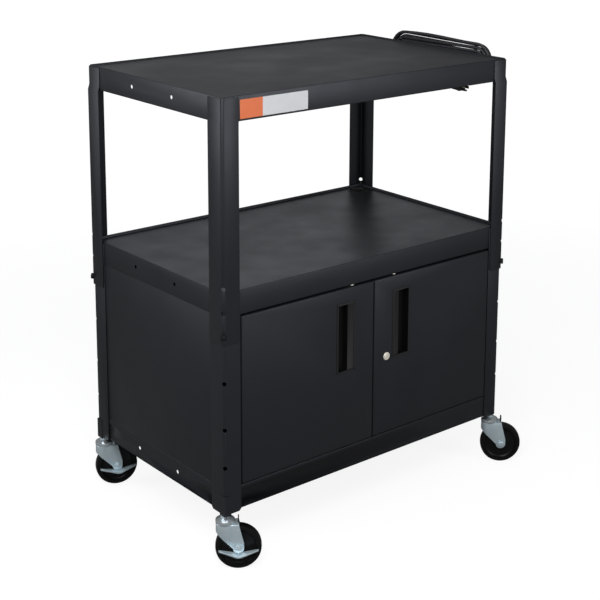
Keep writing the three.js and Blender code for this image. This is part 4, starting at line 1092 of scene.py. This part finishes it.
# %% Bend the brake levers
LEVER_INNER, LEVER_OUTER, LEVER_SHEET = -CHEEK_FACE, -29.3, 3
LEVER_POINT = 7
under = [(-42, 47), (-6, 38.5), (0, 37.5), (6, 38.5), (42, 47)]
lever = outline_sheet("brake_pedal", [
    *((TRAIL + x, z) for x, z in under),
    *((TRAIL + x, z + LEVER_SHEET) for x, z in reversed(under)),
], (LEVER_OUTER, LEVER_INNER), "Y")
work(lever)
pick(lever, "VERT", lambda at, way: abs(at.x - TRAIL) > 41)
bpy.ops.transform.resize(value=(1, 0.4, 1))
pick(lever, "VERT", lambda at, way: abs(at.x - TRAIL) < 7 and at.y < LEVER_OUTER + 1)
move(0, -LEVER_POINT, 0)
pick(lever, "EDGE", lambda at, way: abs(way.z) > 0.6 and abs(at.x - TRAIL) > 41)
round_off(2, 4)
join(lever, bar("boss", on_axle(-18.8), on_axle(-CHEEK_FACE), 20, 48))
cut(lever, bar("drill", on_axle(-22), on_axle(-10), AXLE_HOLE, 32))
ease_edges(lever, 0.4, 3)
paint(lever, zinc_plate)
place_copies(lever, "brake_{}", "zinc_plate", "brake_lever", BRAKED)
print("levers bent")

# %% [markdown]
# ## The outlet unit
# A folded steel housing on the right-hand fascia holds three outlets. A saddle on its top and a
# keeper under it hold the wound cord. It is an open box like the doors, and the outlets' openings
# are punched in its face.

# %% Fold the housing
UNIT_Y, UNIT_Z = UNIT_MIDDLE
UNIT_BACK, UNIT_FRONT, UNIT_LENGTH, UNIT_HEIGHT = 406.5, 440.5, 111, 19
SADDLE_FRONT, SADDLE_REAR = 10, 94
OUTLET_PITCH, PAST_FACE = 62, 444
unit = slab("outlet_box", (UNIT_BACK, UNIT_Y - UNIT_LENGTH, UNIT_Z - UNIT_HEIGHT),
            (UNIT_FRONT, UNIT_Y + UNIT_LENGTH, UNIT_Z + UNIT_HEIGHT))
work(unit)
pick(unit, "FACE", lambda at, way: way.x < -0.9)
bpy.ops.mesh.delete(type="FACE")
round_folds(1.8)
fold_sheet(unit, 1.5)
outlet_places = [UNIT_Y + step * OUTLET_PITCH for step in (-1, 0, 1)]
for y in outlet_places:
    cut(unit, slab("punch", (436, y - 17.55, UNIT_Z - 14.05), (PAST_FACE, y + 17.55, UNIT_Z + 14.05)))
saddle_turn = (TURNS - 1 + run_share * (1 + SADDLE_REAR / HALF_RUN)) / 2
saddle_top = UNIT_Z + turn_radius(saddle_turn) - CORD / 2 - 0.3
saddle = slab("saddle", (414.5, UNIT_Y + SADDLE_FRONT, UNIT_Z + 17.5),
              (436.5, UNIT_Y + SADDLE_REAR, saddle_top))
keeper = slab("keeper", (434, UNIT_Y - 17, UNIT_Z - 57), (436, UNIT_Y + 63, UNIT_Z - 17.5))
join(unit, saddle, keeper)
dress(unit, (0.4, 2), powder_coat, "upper", "black_powder_coat", "outlet_housing")
print("housing folded")

# %% [markdown]
# ### The outlets
# Each outlet is a moulded face with a thin flange, two slots and a round ground hole. One function
# moulds all three.

# %% Mould the outlets
OUTLET_FACE, SLOT_FLOOR, BLADE_X = 441.5, 429.5, 6.35


def mould_outlet(name, y):
    def ends(back, front, half_width, half_height):
        return ((back, y - half_width, UNIT_Z - half_height),
                (front, y + half_width, UNIT_Z + half_height))

    outlet = slab(name, *ends(420.5, OUTLET_FACE, 17.25, 13.75))
    flange = rounded_slab("flange", *ends(UNIT_FRONT, OUTLET_FACE, 19.25, 15.75), "X", 2, 4)
    cut(outlet, slab("recess", *ends(OUTLET_FACE - 0.3, PAST_FACE, 13, 11)))
    join(outlet, flange)
    slots = [slab("slot", (SLOT_FLOOR, middle - 1.1, UNIT_Z - 1), (PAST_FACE, middle + 1.1, UNIT_Z + 7))
             for middle in (y - BLADE_X, y + BLADE_X)]
    cut(outlet, *slots, bar("ground", (SLOT_FLOOR, y, UNIT_Z - 7), (PAST_FACE, y, UNIT_Z - 7), 5))
    ease_edges(outlet, 0.25, 2)
    paint(outlet, moulded_plastic)
    return outlet


for number, y in enumerate(outlet_places, 1):
    fit(mould_outlet(f"outlet_face_{number}", y), "upper", "black_plastic", f"outlet_{number}")
print("outlets:", len(outlet_places))

# %% [markdown]
# ### Strain relief and plug
# Where the cord leaves the housing, a tapered sleeve with flexing rings keeps it from kinking. Its
# inner side is flat against the shelf. At the far end is a moulded plug with a waist to hold it by,
# two flat blades and a ground pin.

# %% Turn the strain relief
RING_START, RING_PITCH, RING_RADIUS, RING_TAPER = 95, 4.2, 6.7, 0.4
FLAT_SIDE = 406.8
rings = [(0, 91), (7, 91), (7, RING_START)]
for step in range(4):
    y, radius = RING_START + step * RING_PITCH, RING_RADIUS - step * RING_TAPER
    rings += [(radius, y + 0.4), (radius - 1.1, y + 1), (radius - 1.1, y + 2.8), (radius - 0.3, y + 3.4)]
rings += [(5.2, 112.4), (4.9, 113), (0, 113)]
relief = turned("cord_relief", rings, (LEAD_X, 0, lead_top), "Y", 40)
work(relief)
pick_all()
slice_across("X", FLAT_SIDE, use_fill=True, clear_inner=True)
face_out()
dress(relief, (0, 2, 40), moulded_plastic, "upper", "black_plastic", "cord_strain_relief")
print("strain relief turned")

# %% Mould the plug
PLUG_REAR, PLUG_FACE, GRIP_WIDTH, GRIP_HEIGHT = -54, -90, 12, 8.5
grip = slab("mains_plug", (tail_x - GRIP_WIDTH, PLUG_FACE, plug_z - GRIP_HEIGHT),
            (tail_x + GRIP_WIDTH, PLUG_REAR, plug_z + GRIP_HEIGHT))
work(grip)
for y, width, height in ((-60, 0.6, 0.8), (-67, 0.94, 0.98), (-76, 0.86, 0.92)):
    pick_all()
    slice_across("Y", y)
    pick(grip, "VERT", lambda at, way: abs(at.y - y) < 0.1)
    bpy.ops.transform.resize(value=(width, 1, height))
pick(grip, "VERT", lambda at, way: abs(at.y - PLUG_REAR) < 0.1)
bpy.ops.transform.resize(value=(0.46, 1, 0.6))
pick(grip, "EDGE", lambda at, way: abs(way.y) > 0.6)
round_off(3, 4)
pick(grip, "FACE", lambda at, way: way.y < -0.9)
inset(1.2)
apply_modifier(grip, "SUBSURF", levels=1, render_levels=1)
ease_edges(grip, 0, smooth=45)
paint(grip, moulded_plastic)
blades = [slab("blade", (middle - 0.75, PLUG_FACE - 17, plug_z - 1.15),
               (middle + 0.75, PLUG_FACE + 2, plug_z + 5.15))
          for middle in (tail_x - BLADE_X, tail_x + BLADE_X)]
pin = turned("ground_pin", [
    (0, -107), (1.4, -106.6), (2.2, -105.2), (2.4, -103.6), (2.4, -88), (0, -88),
], (tail_x, 0, plug_z - 5), "Y", 24)
# The blades and the pin take the darkened brass, a painted shade.
for metal in (*blades, pin):
    ease_edges(metal, 0 if metal is pin else 0.3, 2)
    paint(metal, brass_painted_shade)
join(grip, *blades, pin)
fit(grip, "upper", "black_plastic", "power_plug")
print("plug moulded")

# %% [markdown]
# ## Floor and light
# The cart stands on a plain pale floor under soft studio light. Black satin shows the room more
# than its own colour: its upright faces mirror the floor, far off at the top of the cart and close
# by at its foot. So the floor's mirrored brightness grows with the distance from the cart, and the
# faces fade downwards. It is also weaker behind the cart than before it. Two low panels stand where
# the front left corner mirrors them. The white that the camera sees comes from the floor's own
# shader and the world, and adds no light to the cart.

# %% Lay the floor
FLOOR_SIZE = 60
CAMERA_WAY = (0.649, 0.761, 0)
FLOOR_GREY, WHITE = "#808080", (1, 1, 1, 1)

clear()
bpy.ops.mesh.primitive_plane_add(size=FLOOR_SIZE)
floor = named("studio_floor")
ground = bare(bpy.data.materials.new("pale_studio_floor"))


def ramp(value, low, high, start, end):
    """A value in metres turned into a strength, steady beyond both ends."""
    return node(ground, "MapRange", {
        "interpolation_type": "SMOOTHSTEP", "From Min": low, "From Max": high,
        "To Min": start, "To Max": end,
    }, {"Value": value}).outputs["Result"]


def combine(tree, operation, first, second):
    return node(tree, "Math", {"operation": operation}, {0: first, 1: second}).outputs[0]


spot = node(ground, "NewGeometry").outputs["Position"]
away = node(ground, "VectorMath", {"operation": "LENGTH"}, {0: spot}).outputs["Value"]
behind = node(ground, "VectorMath", {"operation": "DOT_PRODUCT", 1: CAMERA_WAY},
              {0: spot}).outputs["Value"]
rays = node(ground, "LightPath").outputs
seen = combine(ground, "MAXIMUM", rays["Is Camera Ray"], rays["Is Transmission Ray"])
to_camera = combine(ground, "MULTIPLY", seen, ramp(away, 1, 4, 0.88, 1))
spread = combine(ground, "MULTIPLY", ramp(away, 1.5, 6, 0.1, 0.9), ramp(behind, -2, 2, 1, 0.1))
to_gloss = combine(ground, "MULTIPLY", rays["Is Glossy Ray"], spread)
strength = combine(ground, "ADD", to_camera, to_gloss)
matt = node(ground, "BsdfDiffuse", {"Color": hex_colour(FLOOR_GREY)})
glow = node(ground, "Emission", {"Color": WHITE}, {"Strength": strength})
both = node(ground, "AddShader", {}, {0: matt.outputs[0], 1: glow.outputs[0]})
node(ground, "OutputMaterial", {}, {"Surface": both.outputs[0]})
paint(floor, ground)
print("floor laid")

# %% Light the studio
FILL_STRENGTH = 0.14
DAYLIGHT, COOL_LIGHT = (1, 1, 1), (0.9, 0.94, 1)
FRONT_LEFT_LEG = (-0.4, -0.254, 1)

world = bare(bpy.data.worlds.new("studio"))
scene.world = world
rays = node(world, "LightPath").outputs
seen = combine(world, "MAXIMUM", rays["Is Camera Ray"], rays["Is Transmission Ray"])
fill_light = node(world, "Background", {"Color": WHITE, "Strength": FILL_STRENGTH})
backdrop = node(world, "Background", {"Color": WHITE, "Strength": 1.0})
choice = node(world, "MixShader", {}, {
    0: seen, 1: fill_light.outputs[0], 2: backdrop.outputs[0]})
node(world, "OutputWorld", {}, {"Surface": choice.outputs[0]})


def hang_lamp(name, place, aim, size, power, tint):
    """A square soft box, aimed at a point; places in metres."""
    lamp = bpy.data.lights.new(name, "AREA")
    lamp.size, lamp.energy, lamp.color = size, power, tint
    holder = bpy.data.objects.new(name, lamp)
    scene.collection.objects.link(holder)
    holder.location = place
    holder.rotation_euler = (Vector(aim) - Vector(place)).to_track_quat("-Z", "Y").to_euler()


hang_lamp("overhead_softbox", (-0.3, 0.1, 2.5), (0, 0, 1), 1.4, 8.8, COOL_LIGHT)
hang_lamp("front_softbox", (-1.5, -1.5, 1.9), (-0.1, -0.1, 0.9), 1.1, 35, DAYLIGHT)
hang_lamp("rear_softbox", (1.5, 2.5, 1.6), (-0.1, 0, 0.8), 2.0, 5, COOL_LIGHT)
hang_lamp("front_low_panel", (0.95, -2.38, 1.15), FRONT_LEFT_LEG, 0.9, 14, DAYLIGHT)
hang_lamp("rear_low_panel", (-1.93, 1, 1.15), FRONT_LEFT_LEG, 0.9, 11, DAYLIGHT)
scene.view_settings.view_transform = "Standard"
print("studio lit")

# %% Finish
clear()
